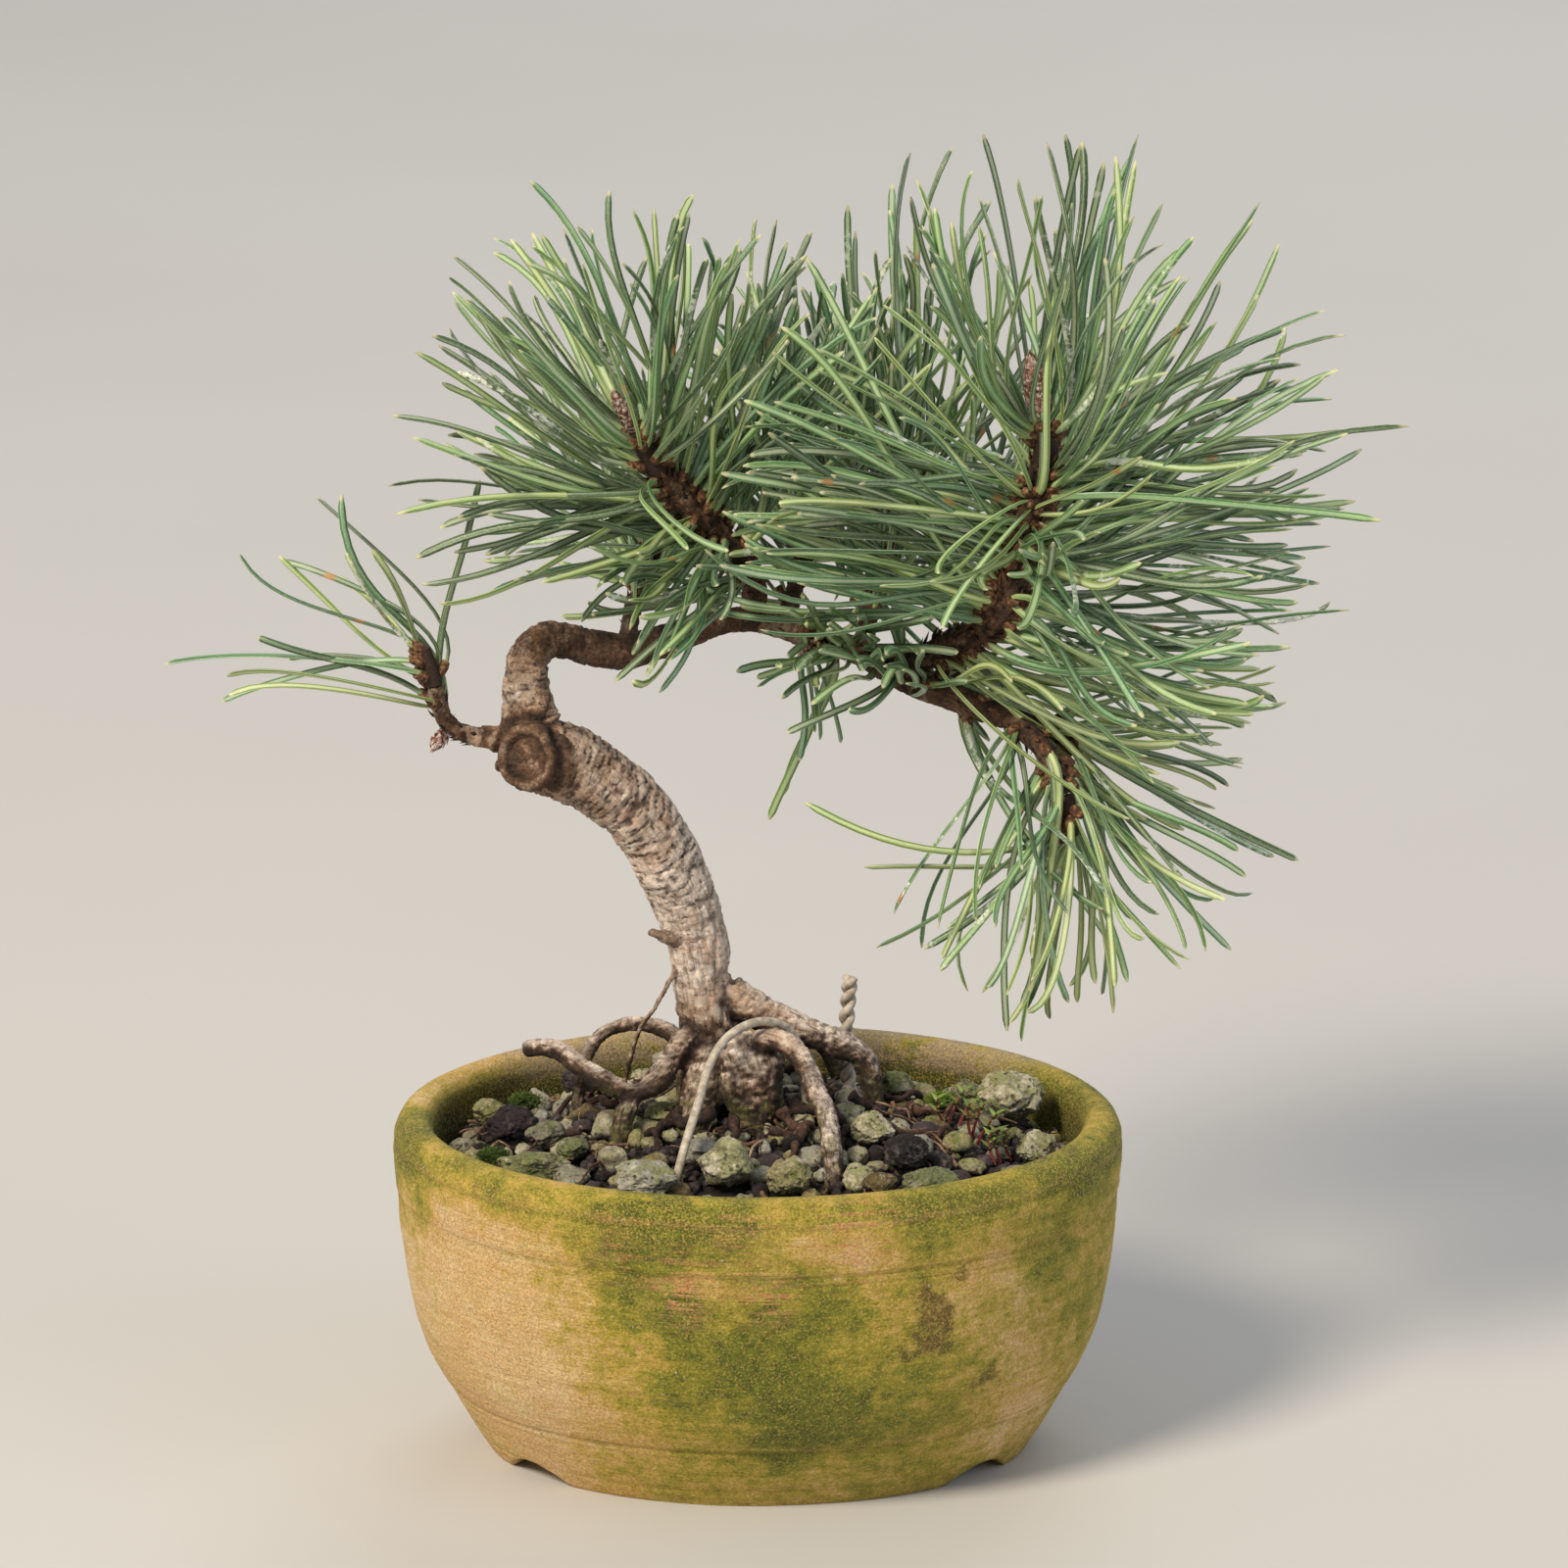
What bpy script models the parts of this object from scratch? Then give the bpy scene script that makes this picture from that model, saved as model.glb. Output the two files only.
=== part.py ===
"""A pine bonsai in an oval terracotta pot. Run: blender --background --python part.py"""

import math
import random

import bmesh
import bpy
from mathutils import Vector

MM = 0.001  # every size below is in millimetres and is scaled once, when its mesh is made
GAP = 0.3  # left between pieces that rest on each other

# Pot: semi-axes of the widest ring, and how much faster the wall draws in along its short axis
POT_A = 62.4
POT_B = 52.0
SHORT_AXIS_TUCK = 1.1
POT_SEGMENTS = 48
FLOOR_TOP = 6.5
FOOT_RECESS = 3.0
NOTCH_HEIGHT = 3.6
NOTCH_HALF_WIDTH = 7.0
NOTCH_FROM_FRONT = 54.0  # degrees round the oval, to each side of the front and of the back
HOLE_X = 22.0
HOLE_RADIUS = 6.0

NOTCH_INSET = 19.0  # the middle of the foot ring, where the notches are centred
NOTCH_INWARD = 8.0
NOTCH_OUTWARD = 9.0
NOTCH_SIDES = 32
HOLE_SIDES = 20
LINING_INSET = 7.1  # the inner wall at the height of the soil's edge

# Outer wall from foot to lip, then the inner wall down to the floor: (inset from the widest ring, height)
POT_PROFILE = [
    (24.0, FOOT_RECESS), (22.6, 0.0), (15.6, 0.0), (15.0, 1.0), (12.8, 4.8), (10.7, 8.5), (8.9, 11.6),
    (9.0, 12.1), (8.3, 12.6), (6.5, 15.6), (5.0, 19.0), (3.7, 22.5), (2.8, 26.0), (1.6, 33.0),
    (0.9, 40.0), (0.6, 45.0), (1.1, 45.7), (0.3, 46.5), (0.0, 51.0), (0.1, 54.5), (0.9, 57.3),
    (2.6, 59.0), (4.6, 59.2), (6.3, 58.3), (6.8, 56.6), (6.5, 52.0), (7.0, 40.0), (8.6, 26.0),
    (12.0, 15.6), (15.2, 9.6), (19.0, FLOOR_TOP),
]

# Soil: it fills the pot to just under the lip and rises towards the trunk
SOIL_EDGE = 50.0
SOIL_RISE = 9.0
SOIL_RIPPLE = 0.5
SOIL_WALL = [(20.4, FLOOR_TOP + GAP), (15.8, 9.9), (12.6, 15.6), (9.2, 26.0), (7.6, 40.0), (7.1, 49.0)]
SOIL_TOP_RINGS = (0.93, 0.8, 0.64, 0.48, 0.32, 0.16)
SOIL_SEGMENTS = 36
MESH_ROOM_HEIGHT = 6.0  # of the space that the soil leaves over each drainage mesh

# Drainage mesh and its clip
MESH_SIDE = 18.0
MESH_THICKNESS = 0.8
MESH_CELLS = 5
MESH_BAR = 0.9
CLIP_RADIUS = 0.5
CLIP_REACH = 6.4
WIRE_RADIUS = 0.75

# Wood: routes of (x, y, height, radius)
TRUNK_ROUTE = [
    (-5.6, 8.0, 54.0, 8.2), (-6.4, 8.0, 61.0, 7.6), (-7.6, 8.0, 69.0, 6.1), (-8.6, 7.5, 74.7, 5.2),
    (-9.5, 7.0, 80.0, 5.0), (-10.3, 6.0, 87.4, 5.2), (-12.4, 5.0, 95.0, 5.6), (-15.4, 3.0, 103.0, 5.7),
    (-20.0, 1.5, 110.6, 5.8), (-26.6, 0.0, 117.2, 6.2), (-32.4, -1.0, 120.8, 6.6), (-38.2, -1.5, 123.2, 6.4),
    (-43.0, -1.5, 124.4, 4.4),
]
LEADER_ROUTE = [
    (-37.4, -1.0, 123.0, 5.4), (-38.4, -0.5, 128.0, 4.8), (-38.9, 0.5, 133.8, 4.0), (-38.4, 1.0, 138.6, 3.4),
    (-35.6, 2.0, 141.4, 3.1), (-31.5, 3.0, 140.8, 3.0), (-27.0, 4.0, 139.4, 3.1), (-21.9, 5.0, 138.6, 3.1),
    (-16.7, 6.0, 139.8, 2.9), (-12.0, 6.0, 141.7, 2.6), (-6.2, 6.0, 143.6, 2.3), (-0.4, 6.0, 144.0, 2.2),
    (5.4, 5.0, 142.6, 2.2), (12.8, 4.0, 140.4, 2.2), (17.7, 3.0, 139.0, 2.4), (22.0, 2.0, 136.8, 2.6),
    (26.8, 0.0, 134.7, 2.6), (31.7, -2.0, 133.4, 2.6), (37.4, -4.0, 131.4, 2.5), (44.0, -5.2, 129.6, 2.2),
    (51.6, -5.6, 127.4, 1.8),
]
SIDE_TWIG_ROUTE = [
    (-41.0, -1.5, 124.6, 2.2), (-44.6, -2.0, 125.4, 1.9), (-48.5, -3.0, 126.2, 1.6),
    (-51.8, -4.0, 128.2, 1.5),
    (-53.3, -5.0, 131.9, 1.5), (-54.0, -6.0, 135.8, 1.4),
]
LEFT_CROWN_ROUTE = [
    (-1.2, 5.6, 143.4, 2.0), (-0.4, 3.0, 150.0, 2.2), (-2.6, 0.0, 155.2, 2.3), (-6.0, -3.0, 160.2, 2.3),
    (-10.0, -6.0, 165.1, 2.3), (-13.4, -8.0, 169.3, 2.2), (-16.0, -10.0, 173.3, 2.0),
]
BACK_TWIG_ROUTE = [
    (-22.2, 6.0, 139.0, 1.6), (-21.0, 12.0, 144.6, 1.5), (-19.4, 15.0, 147.8, 1.4), (-17.9, 18.0, 151.0, 1.3),
]
RIGHT_CROWN_ROUTE = [
    (22.4, 1.6, 136.9, 2.2), (27.5, -3.0, 139.5, 2.2), (33.2, -7.0, 143.5, 2.3), (38.5, -11.0, 147.6, 2.5),
    (41.1, -14.0, 152.0, 2.5), (42.7, -16.0, 157.1, 2.4), (44.2, -18.0, 163.9, 2.4),
    (45.7, -20.0, 171.1, 2.4),
    (47.3, -22.0, 178.2, 2.2),
]
MIDDLE_ROUTES = {
    "middle_left": [
        (4.4, 5.4, 142.4, 1.7), (6.5, 13.0, 148.0, 1.6), (8.9, 20.0, 154.0, 1.5),
        (11.5, 26.0, 160.0, 1.4),
    ],
    "middle_right": [
        (17.6, 3.4, 138.8, 1.8), (19.5, 15.0, 145.6, 1.7), (22.1, 24.0, 152.6, 1.6),
        (25.5, 32.0, 160.6, 1.5),
    ],
    "back_right": [
        (31.4, -1.6, 133.6, 1.9), (35.3, 12.0, 138.0, 1.8), (39.7, 23.0, 145.2, 1.7),
        (44.9, 34.0, 153.0, 1.6),
    ],
}
DROOP_ROUTE = [
    (42.0, -4.8, 130.0, 2.0), (46.4, -11.0, 127.6, 1.8), (49.8, -14.4, 124.0, 1.6), (51.2, -15.4, 119.4, 1.5),
]

SCAR_CENTRE = (-38.6, -7.2, 123.4)
SCAR_FACING = (-0.28, -0.94, 0.16)
SCAR_PROFILE = [(2.6, -0.7), (3.5, 0.3), (4.4, 0.8), (5.2, 0.3), (5.5, -1.4), (5.1, -3.6)]  # (radius, lift)
SCAR_STRETCH = 1.14
SCAR_SIDES = 16

# Roots above the soil run on down into it, in channels of their own
ROOT_ROUTES = {
    "right": [
        (-5.0, 7.2, 77.4, 3.6), (2.8, 6.0, 73.4, 2.9), (11.2, 6.0, 70.0, 2.5), (17.6, 6.0, 66.8, 2.2),
        (19.6, 6.2, 60.8, 1.8), (20.4, 6.6, 50.0, 1.4),
    ],
    "right_back": [
        (-4.0, 11.0, 73.0, 2.4), (5.0, 17.0, 69.0, 1.8), (12.0, 21.0, 63.0, 1.5), (16.0, 23.0, 50.0, 1.2),
    ],
    "left": [
        (-9.6, 6.6, 72.0, 3.0), (-14.2, 1.6, 68.0, 2.4), (-18.0, -4.0, 64.6, 2.1), (-22.4, -6.0, 64.2, 1.9),
        (-28.8, -4.4, 67.4, 1.8), (-34.2, -1.0, 70.2, 1.7), (-39.6, 2.0, 69.4, 1.4),
    ],
    "left_arched": [
        (-11.0, 9.0, 66.8, 2.2), (-16.0, 12.0, 69.6, 1.5), (-21.4, 13.4, 70.2, 1.3), (-26.4, 13.0, 68.8, 1.2),
        (-29.6, 11.0, 64.6, 1.2), (-31.0, 9.6, 57.0, 1.2), (-31.6, 9.0, 49.0, 1.1),
    ],
    "left_prop": [(-20.4, -5.4, 63.8, 1.8), (-23.0, -9.0, 59.0, 1.7), (-23.6, -11.0, 49.0, 1.4)],
    "front": [
        (-7.6, 4.0, 66.0, 5.0), (-9.4, -2.6, 62.0, 3.8), (-11.6, -8.0, 56.0, 2.6),
        (-12.6, -10.0, 49.0, 2.0),
    ],
    "knob": [
        (-3.6, 3.6, 66.0, 5.2), (-1.6, -1.6, 66.8, 5.8), (-0.6, -4.6, 62.0, 5.2),
        (-0.4, -5.6, 54.0, 4.2),
    ],
    "knob_arch": [
        (-1.0, -2.0, 70.6, 2.4), (3.0, -4.6, 72.9, 2.1), (7.0, -8.6, 71.4, 1.9), (9.6, -13.0, 67.0, 1.9),
        (11.8, -19.0, 63.4, 1.8), (12.6, -24.4, 59.0, 1.7), (12.8, -27.6, 50.0, 1.4),
    ],
}

# Wires, from under the pot up through its holes
TIE_WIRE_ROUTE = [
    (-34.0, 0.0, 1.7), (-26.0, 0.0, 1.7), (-23.4, 0.0, 2.4), (-22.0, 0.0, 5.0), (-22.0, 0.0, 12.0),
    (-20.0, -10.0, 26.0), (-16.4, -23.0, 44.0), (-14.0, -27.4, 54.0), (-12.0, -24.4, 61.0),
    (-9.8, -18.4, 66.6),
    (-8.2, -13.4, 71.0), (-5.2, -9.4, 74.8), (-0.4, -5.6, 76.4), (4.4, -1.8, 74.6), (7.2, -0.4, 70.0),
    (8.2, 0.0, 62.0), (8.6, 0.0, 50.0), (16.0, 0.0, 30.0), (20.2, 0.0, 14.0),
]
ANCHOR_ROUTE = [
    (25.6, 3.6, 7.6), (25.6, 3.8, 16.0), (22.0, 8.0, 34.0), (16.8, 12.6, 52.0), (15.2, 13.6, 66.0),
    (15.8, 13.4, 78.4),
]
ANCHOR_STRAND = 0.75
ANCHOR_TURNS = 11
ANCHOR_LOBES = (1.25, 0.6)  # the twist's mean radius and the swing to its two lobes, in strand radii
ANCHOR_SIDES = 10
ANCHOR_STEP = 2.2

# Shoots: where each leaves the wood, which way it points, and how its needles grow
NEEDLE_RADIUS = 0.72
NEEDLE_TAPER = (1.0, 0.9, 0.3)  # share of the radius at the base, the middle and the tip
NEEDLE_ROOM = 0.5  # kept between needles of neighbouring shoots
LOWEST_NEEDLE = 66.0
AIMED_TRIES = 8  # for a needle that has a set tip, before it may go its own way
TRIES = 16
SPREAD_SHARE = 0.55
STEM_RINGS = 5
STEM_TURN = 0.6  # how far a stem turns from square to its seat to its own direction
STEM_TAPER = 0.45
CORE_SIDES = 6
SIDE_SHOOT_RADIUS = 1.3
REACH = Vector((104.6, 71.0, 232.4))  # no needle goes past this far from the pot's centre line
SHOOTS = {
    "side_twig": dict(
        on="side_twig_end", up=(-0.25, -0.3, 1.0), length=7.0,
        needles=14, size=(38, 50), aim=(-1.0, 0.0, 0.55), spread=38,
    ),
    "left_crown_tip": dict(
        on="left_crown_end", up=(-0.4, -0.3, 1.0), length=9.0,
        needles=26, size=(34, 46), aim=(-0.25, -0.25, 1.0), spread=62,
    ),
    "left_crown_left": dict(
        at=(-12.6, -7.4, 168.2), up=(-1.0, -0.5, 0.5), length=5.0,
        needles=20, size=(38, 50), aim=(-1.0, -0.3, 0.45), spread=50,
    ),
    "left_crown_front": dict(
        at=(-6.6, -3.4, 161.0), up=(-0.3, -1.0, 0.2), length=5.0,
        needles=16, size=(34, 46), aim=(-0.4, -1.0, 0.3), spread=52,
    ),
    "left_crown_right": dict(
        at=(-3.2, -0.6, 156.2), up=(0.9, 0.0, 0.7), length=6.0,
        needles=18, size=(34, 46), aim=(0.5, 0.0, 1.0), spread=52,
    ),
    "back_twig": dict(
        on="back_twig_end", up=(0.1, 0.7, 1.0), length=6.0,
        needles=20, size=(34, 44), aim=(-0.4, 0.9, 0.8), spread=62,
    ),
    "middle_left": dict(
        on="middle_left_end", up=(0.0, 0.5, 1.0), length=8.0,
        needles=22, size=(36, 46), aim=(0.0, 0.45, 1.0), spread=66,
    ),
    "middle_right": dict(
        on="middle_right_end", up=(0.1, 0.4, 1.0), length=8.0,
        needles=22, size=(36, 48), aim=(0.1, 0.5, 1.0), spread=66,
    ),
    "back_right": dict(
        on="back_right_end", up=(0.4, 0.6, 0.7), length=7.0,
        needles=22, size=(36, 48), aim=(0.7, 0.7, 0.35), spread=66,
    ),
    "right_crown_tip": dict(
        on="right_crown_end", up=(-0.45, -0.15, 1.0), length=7.0,
        needles=24, size=(36, 46), aim=(0.05, -0.1, 1.0), spread=55,
    ),
    "right_crown_left": dict(
        at=(45.2, -19.2, 168.6), up=(-1.0, -0.4, 0.3), length=5.0,
        needles=22, size=(40, 52), aim=(-1.0, -0.35, 0.25), spread=50,
    ),
    "right_crown_right": dict(
        at=(44.8, -18.8, 166.4), up=(1.0, 0.1, 0.3), length=6.0,
        needles=24, size=(42, 56), aim=(1.0, 0.05, 0.3), spread=46,
    ),
    "right_crown_front": dict(
        at=(43.4, -17.0, 160.2), up=(0.1, -1.0, -0.1), length=5.0,
        needles=18, size=(34, 48), aim=(0.1, -1.0, -0.1), spread=60,
    ),
    "right_crown_low": dict(
        at=(41.6, -14.6, 153.2), up=(0.9, -0.5, -0.3), length=5.0,
        needles=20, size=(38, 50), aim=(1.0, -0.3, -0.35), spread=46,
    ),
    "droop_tip": dict(
        on="droop_end", up=(0.2, -0.1, -1.0), length=7.0,
        needles=22, size=(36, 48), aim=(0.25, 0.0, -1.0), spread=40,
    ),
    "droop_right": dict(
        on="leader_end", up=(1.0, -0.1, -0.3), length=6.0,
        needles=18, size=(34, 44), aim=(1.0, 0.1, -0.35), spread=48,
    ),
    "under_branch": dict(
        at=(16.0, 3.4, 139.4), up=(-0.1, -0.3, -1.0), length=4.0,
        needles=9, size=(20, 34), aim=(-0.3, -0.2, -1.0), spread=42,
    ),
}
# Needles that reach the tree's own limits, one to each side
REACHING = {
    "side_twig": [
        (-104.6, -9.0, 139.0), (-95.0, -2.0, 132.0), (-91.0, -12.0, 157.0), (-83.0, 2.0, 158.0),
        (-73.0, -10.0, 167.0), (-50.0, -12.0, 172.0),
    ],
    "right_crown_right": [(104.6, -20.0, 184.0), (100.0, -34.0, 168.0), (96.0, -2.0, 176.0)],
    "right_crown_front": [(50.0, -71.0, 150.0), (38.0, -66.0, 176.0)],
    "back_right": [(52.0, 71.0, 176.0), (80.0, 60.0, 168.0)],
    "right_crown_tip": [(62.0, -24.0, 232.4), (30.0, -30.0, 228.0), (24.0, -22.0, 222.0)],
    "droop_tip": [(60.0, -12.0, 75.0), (44.0, -16.0, 78.0), (72.0, -8.0, 84.0)],
}

BUDS = {
    "bud_right_crown": dict(on="right_crown_tip", length=11.0, radius=1.9),
    "bud_left_crown": dict(on="left_crown_tip", length=8.0, radius=1.4),
    "bud_side_twig": dict(at=(-51.9, -4.1, 128.4), up=(-0.7, -0.6, -0.1), length=3.2, radius=1.3),
    "bud_middle": dict(at=(9.6, 4.4, 141.4), up=(-0.1, -0.9, -0.3), length=3.4, radius=1.4),
}

BUD_SIDES = 8
# (height, width), as shares of the bud's length and radius
BUD_PROFILE = [(0.0, 0.55), (0.12, 0.85), (0.35, 1.0), (0.65, 0.85), (0.88, 0.5), (1.0, 0.16)]

# Stones on the soil: (x, y, half sizes)
STONES = {
    "pumice_large": (43.0, 12.0, 5.6, 4.6, 4.6), "stone_green_front": (29.0, -30.0, 4.8, 3.6, 2.8),
    "pumice_white_front": (-5.4, -30.0, 4.6, 4.0, 4.2), "pumice_cream_front": (-19.0, -31.0, 5.4, 3.6, 3.4),
    "stone_yellow": (5.2, -31.6, 3.6, 3.0, 3.0), "stone_brown_front": (20.4, -31.4, 2.8, 2.4, 2.2),
    "pumice_cream_right": (19.6, -13.0, 3.8, 3.0, 2.6), "lava_right": (24.6, -20.6, 4.0, 3.4, 3.0),
    "stone_mottled_left": (-37.6, -20.6, 5.6, 3.4, 2.6), "stone_yellow_left": (-46.0, 9.0, 3.4, 3.0, 2.6),
    "stone_lavender": (-35.4, -8.8, 2.8, 2.4, 2.4), "stone_olive": (-31.0, -14.8, 2.8, 2.4, 2.0),
    "lava_left": (-42.0, 0.4, 4.4, 3.4, 2.4), "stone_moss_right": (24.0, 13.8, 3.0, 2.6, 2.4),
    "pumice_pale_right": (47.4, -7.6, 3.4, 2.8, 2.6), "lava_back_left": (-30.6, 22.6, 3.8, 3.2, 2.6),
    "stone_grey_back": (36.0, 22.6, 2.8, 2.4, 2.2), "pumice_back": (0.6, 32.0, 4.2, 3.2, 3.0),
    "lava_back_right": (17.0, 34.0, 3.6, 3.0, 2.8), "pumice_back_left": (-15.0, 31.4, 3.4, 3.0, 2.8),
}
MOSS = {
    "moss_right": (31.6, 8.0, 3.4, 2.8, 1.6), "moss_left": (-45.0, -11.4, 3.4, 2.8, 1.4),
    "moss_back": (-40.0, 16.6, 3.6, 2.6, 1.6),
}
STONE_FACETS = 5
FACET_DEPTH = 0.16
FACET_START = 0.35
STONE_SEED = 40
MOSS_SEED = 90

# Colours are linear, as a Principled BSDF takes them: (colour, roughness, metallic)
FINISHES = {
    "clay": ((0.42, 0.30, 0.11, 1.0), 0.85, 0.0), "soil": ((0.05, 0.045, 0.035, 1.0), 0.95, 0.0),
    "bark": ((0.30, 0.24, 0.19, 1.0), 0.85, 0.0), "needle": ((0.07, 0.16, 0.06, 1.0), 0.45, 0.0),
    "bud": ((0.30, 0.18, 0.10, 1.0), 0.7, 0.0), "pumice": ((0.50, 0.46, 0.34, 1.0), 0.9, 0.0),
    "lava": ((0.06, 0.05, 0.05, 1.0), 0.95, 0.0), "mossy": ((0.20, 0.30, 0.08, 1.0), 0.95, 0.0),
    "grit": ((0.26, 0.24, 0.20, 1.0), 0.9, 0.0), "cream_wire": ((0.55, 0.50, 0.40, 1.0), 0.5, 0.0),
    "black_plastic": ((0.02, 0.02, 0.02, 1.0), 0.5, 0.0), "clip_wire": ((0.50, 0.50, 0.50, 1.0), 0.35, 0.9),
}


def clear_scene():
    for item in list(bpy.data.objects):
        bpy.data.objects.remove(item, do_unlink=True)


def finish_of(name, kind):
    """A material of the piece's own, in one of the finishes."""
    colour, roughness, metallic = FINISHES[kind]
    material = bpy.data.materials.new(name + "_" + kind)
    material.use_nodes = True
    shader = material.node_tree.nodes["Principled BSDF"]
    shader.inputs["Base Color"].default_value = colour
    shader.inputs["Roughness"].default_value = roughness
    shader.inputs["Metallic"].default_value = metallic
    return material


def object_of(name, work, kind, smooth=True):
    """Scales a bmesh from millimetres to metres and makes it a named object."""
    bmesh.ops.recalc_face_normals(work, faces=work.faces[:])
    for vertex in work.verts:
        vertex.co *= MM
    for face in work.faces:
        face.smooth = smooth
    mesh = bpy.data.meshes.new(name)
    work.to_mesh(mesh)
    work.free()
    piece = bpy.data.objects.new(name, mesh)
    bpy.context.scene.collection.objects.link(piece)
    if kind:
        mesh.materials.append(finish_of(name, kind))
    return piece


def as_cutter(piece):
    piece.hide_render = True
    piece.display_type = "WIRE"
    return piece


def boolean(target, others, operation):
    """One EXACT Boolean of the target with each of the others, which stay as hidden helpers."""
    for other in others:
        step = target.modifiers.new(other.name, "BOOLEAN")
        step.operation = operation
        step.object = as_cutter(other)


def bridge(work, lower, upper):
    count = len(lower)
    for i in range(count):
        j = (i + 1) % count
        work.faces.new((lower[i], lower[j], upper[j], upper[i]))


def stack_rings(rings, caps=True):
    """A closed bmesh through rings of points, each with the same number of points."""
    work = bmesh.new()
    loops = [[work.verts.new(point) for point in ring] for ring in rings]
    for lower, upper in zip(loops, loops[1:]):
        bridge(work, lower, upper)
    if caps:
        work.faces.new(list(reversed(loops[0])))
        work.faces.new(loops[-1])
    return work


def smooth_route(route, step):
    """Catmull-Rom points about one step apart; the route's extra values are carried along."""
    knots = [Vector(point[:3]) for point in route]
    extras = [tuple(point[3:]) for point in route]
    places, values = [], []
    for i in range(len(knots) - 1):
        before = knots[max(i - 1, 0)]
        after = knots[min(i + 2, len(knots) - 1)]
        count = max(1, round((knots[i + 1] - knots[i]).length / step))
        for k in range(count):
            t = k / count
            a = 2 * knots[i]
            b = knots[i + 1] - before
            c = 2 * before - 5 * knots[i] + 4 * knots[i + 1] - after
            d = 3 * knots[i] - before - 3 * knots[i + 1] + after
            places.append(0.5 * (a + b * t + c * t * t + d * t * t * t))
            values.append(tuple(x + (y - x) * t for x, y in zip(extras[i], extras[i + 1])))
    places.append(knots[-1])
    values.append(extras[-1])
    return places, values


def frames_along(places):
    """Two directions across the route at each place, turned as little as possible from one to the next."""
    across = None
    frames = []
    for i, place in enumerate(places):
        ahead = (places[min(i + 1, len(places) - 1)] - places[max(i - 1, 0)]).normalized()
        if across is None:
            across = ahead.cross(Vector((0.31, 0.95, 0.12))).normalized()
        across = (across - ahead * across.dot(ahead)).normalized()
        frames.append((across, ahead.cross(across)))
    return frames


def tube(name, route, kind=None, radius=None, sides=8, step=4.0, grow=0.0):
    """A round tube along a route; the radius is one value for all of it, or each point's fourth value."""
    places, values = smooth_route(route, step)
    rings = []
    for place, value, (u, v) in zip(places, values, frames_along(places)):
        size = (radius or value[0]) + grow
        ring = []
        for k in range(sides):
            angle = 2 * math.pi * k / sides
            ring.append(place + size * (math.cos(angle) * u + math.sin(angle) * v))
        rings.append(ring)
    return object_of(name, stack_rings(rings), kind)


def route_end(route):
    """The middle of the tube's last face, the way it points, and its radius."""
    places, values = smooth_route(route, 4.0)
    return places[-1], (places[-1] - places[-2]).normalized(), values[-1][0]


def oval(inset, height, count=POT_SEGMENTS):
    a = POT_A - inset
    b = POT_B - inset * SHORT_AXIS_TUCK
    ring = []
    for k in range(count):
        angle = 2 * math.pi * k / count
        ring.append(Vector((a * math.cos(angle), b * math.sin(angle), height)))
    return ring


def notch_cutter(name, angle):
    """A lying cylinder whose top arches through the foot ring."""
    radius = (NOTCH_HALF_WIDTH ** 2 + NOTCH_HEIGHT ** 2) / (2 * NOTCH_HEIGHT)
    a = POT_A - NOTCH_INSET
    b = POT_B - NOTCH_INSET * SHORT_AXIS_TUCK
    place = Vector((a * math.sin(angle), -b * math.cos(angle), NOTCH_HEIGHT - radius))
    outward = Vector((math.sin(angle) / a, -math.cos(angle) / b, 0)).normalized()
    along = Vector((-outward.y, outward.x, 0))
    rings = []
    for reach in (-NOTCH_INWARD, NOTCH_OUTWARD):
        ring = []
        for k in range(NOTCH_SIDES):
            turn = 2 * math.pi * (k + 0.5) / NOTCH_SIDES
            spoke = math.cos(turn) * along + math.sin(turn) * Vector((0, 0, 1))
            ring.append(place + outward * reach + radius * spoke)
        rings.append(ring)
    return object_of(name, stack_rings(rings), None)


def drain_cutter(name, x):
    rings = []
    turns = [2 * math.pi * k / HOLE_SIDES for k in range(HOLE_SIDES)]
    circle = [(x + HOLE_RADIUS * math.cos(t), HOLE_RADIUS * math.sin(t)) for t in turns]
    for height in (FOOT_RECESS - 2, FLOOR_TOP + 2):
        rings.append([Vector((px, py, height)) for px, py in circle])
    return object_of(name, stack_rings(rings), None)


def make_pot():
    pot = object_of("pot", stack_rings([oval(inset, height) for inset, height in POT_PROFILE]), "clay")
    cutters = []
    for side in (-1, 1):
        cutters.append(drain_cutter("drain_cut_%d" % side, side * HOLE_X))
        for base in (0, 180):
            angle = math.radians(base + side * NOTCH_FROM_FRONT)
            cutters.append(notch_cutter("notch_cut_%d_%d" % (base, side), angle))
    boolean(pot, cutters, "DIFFERENCE")
    return pot


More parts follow.
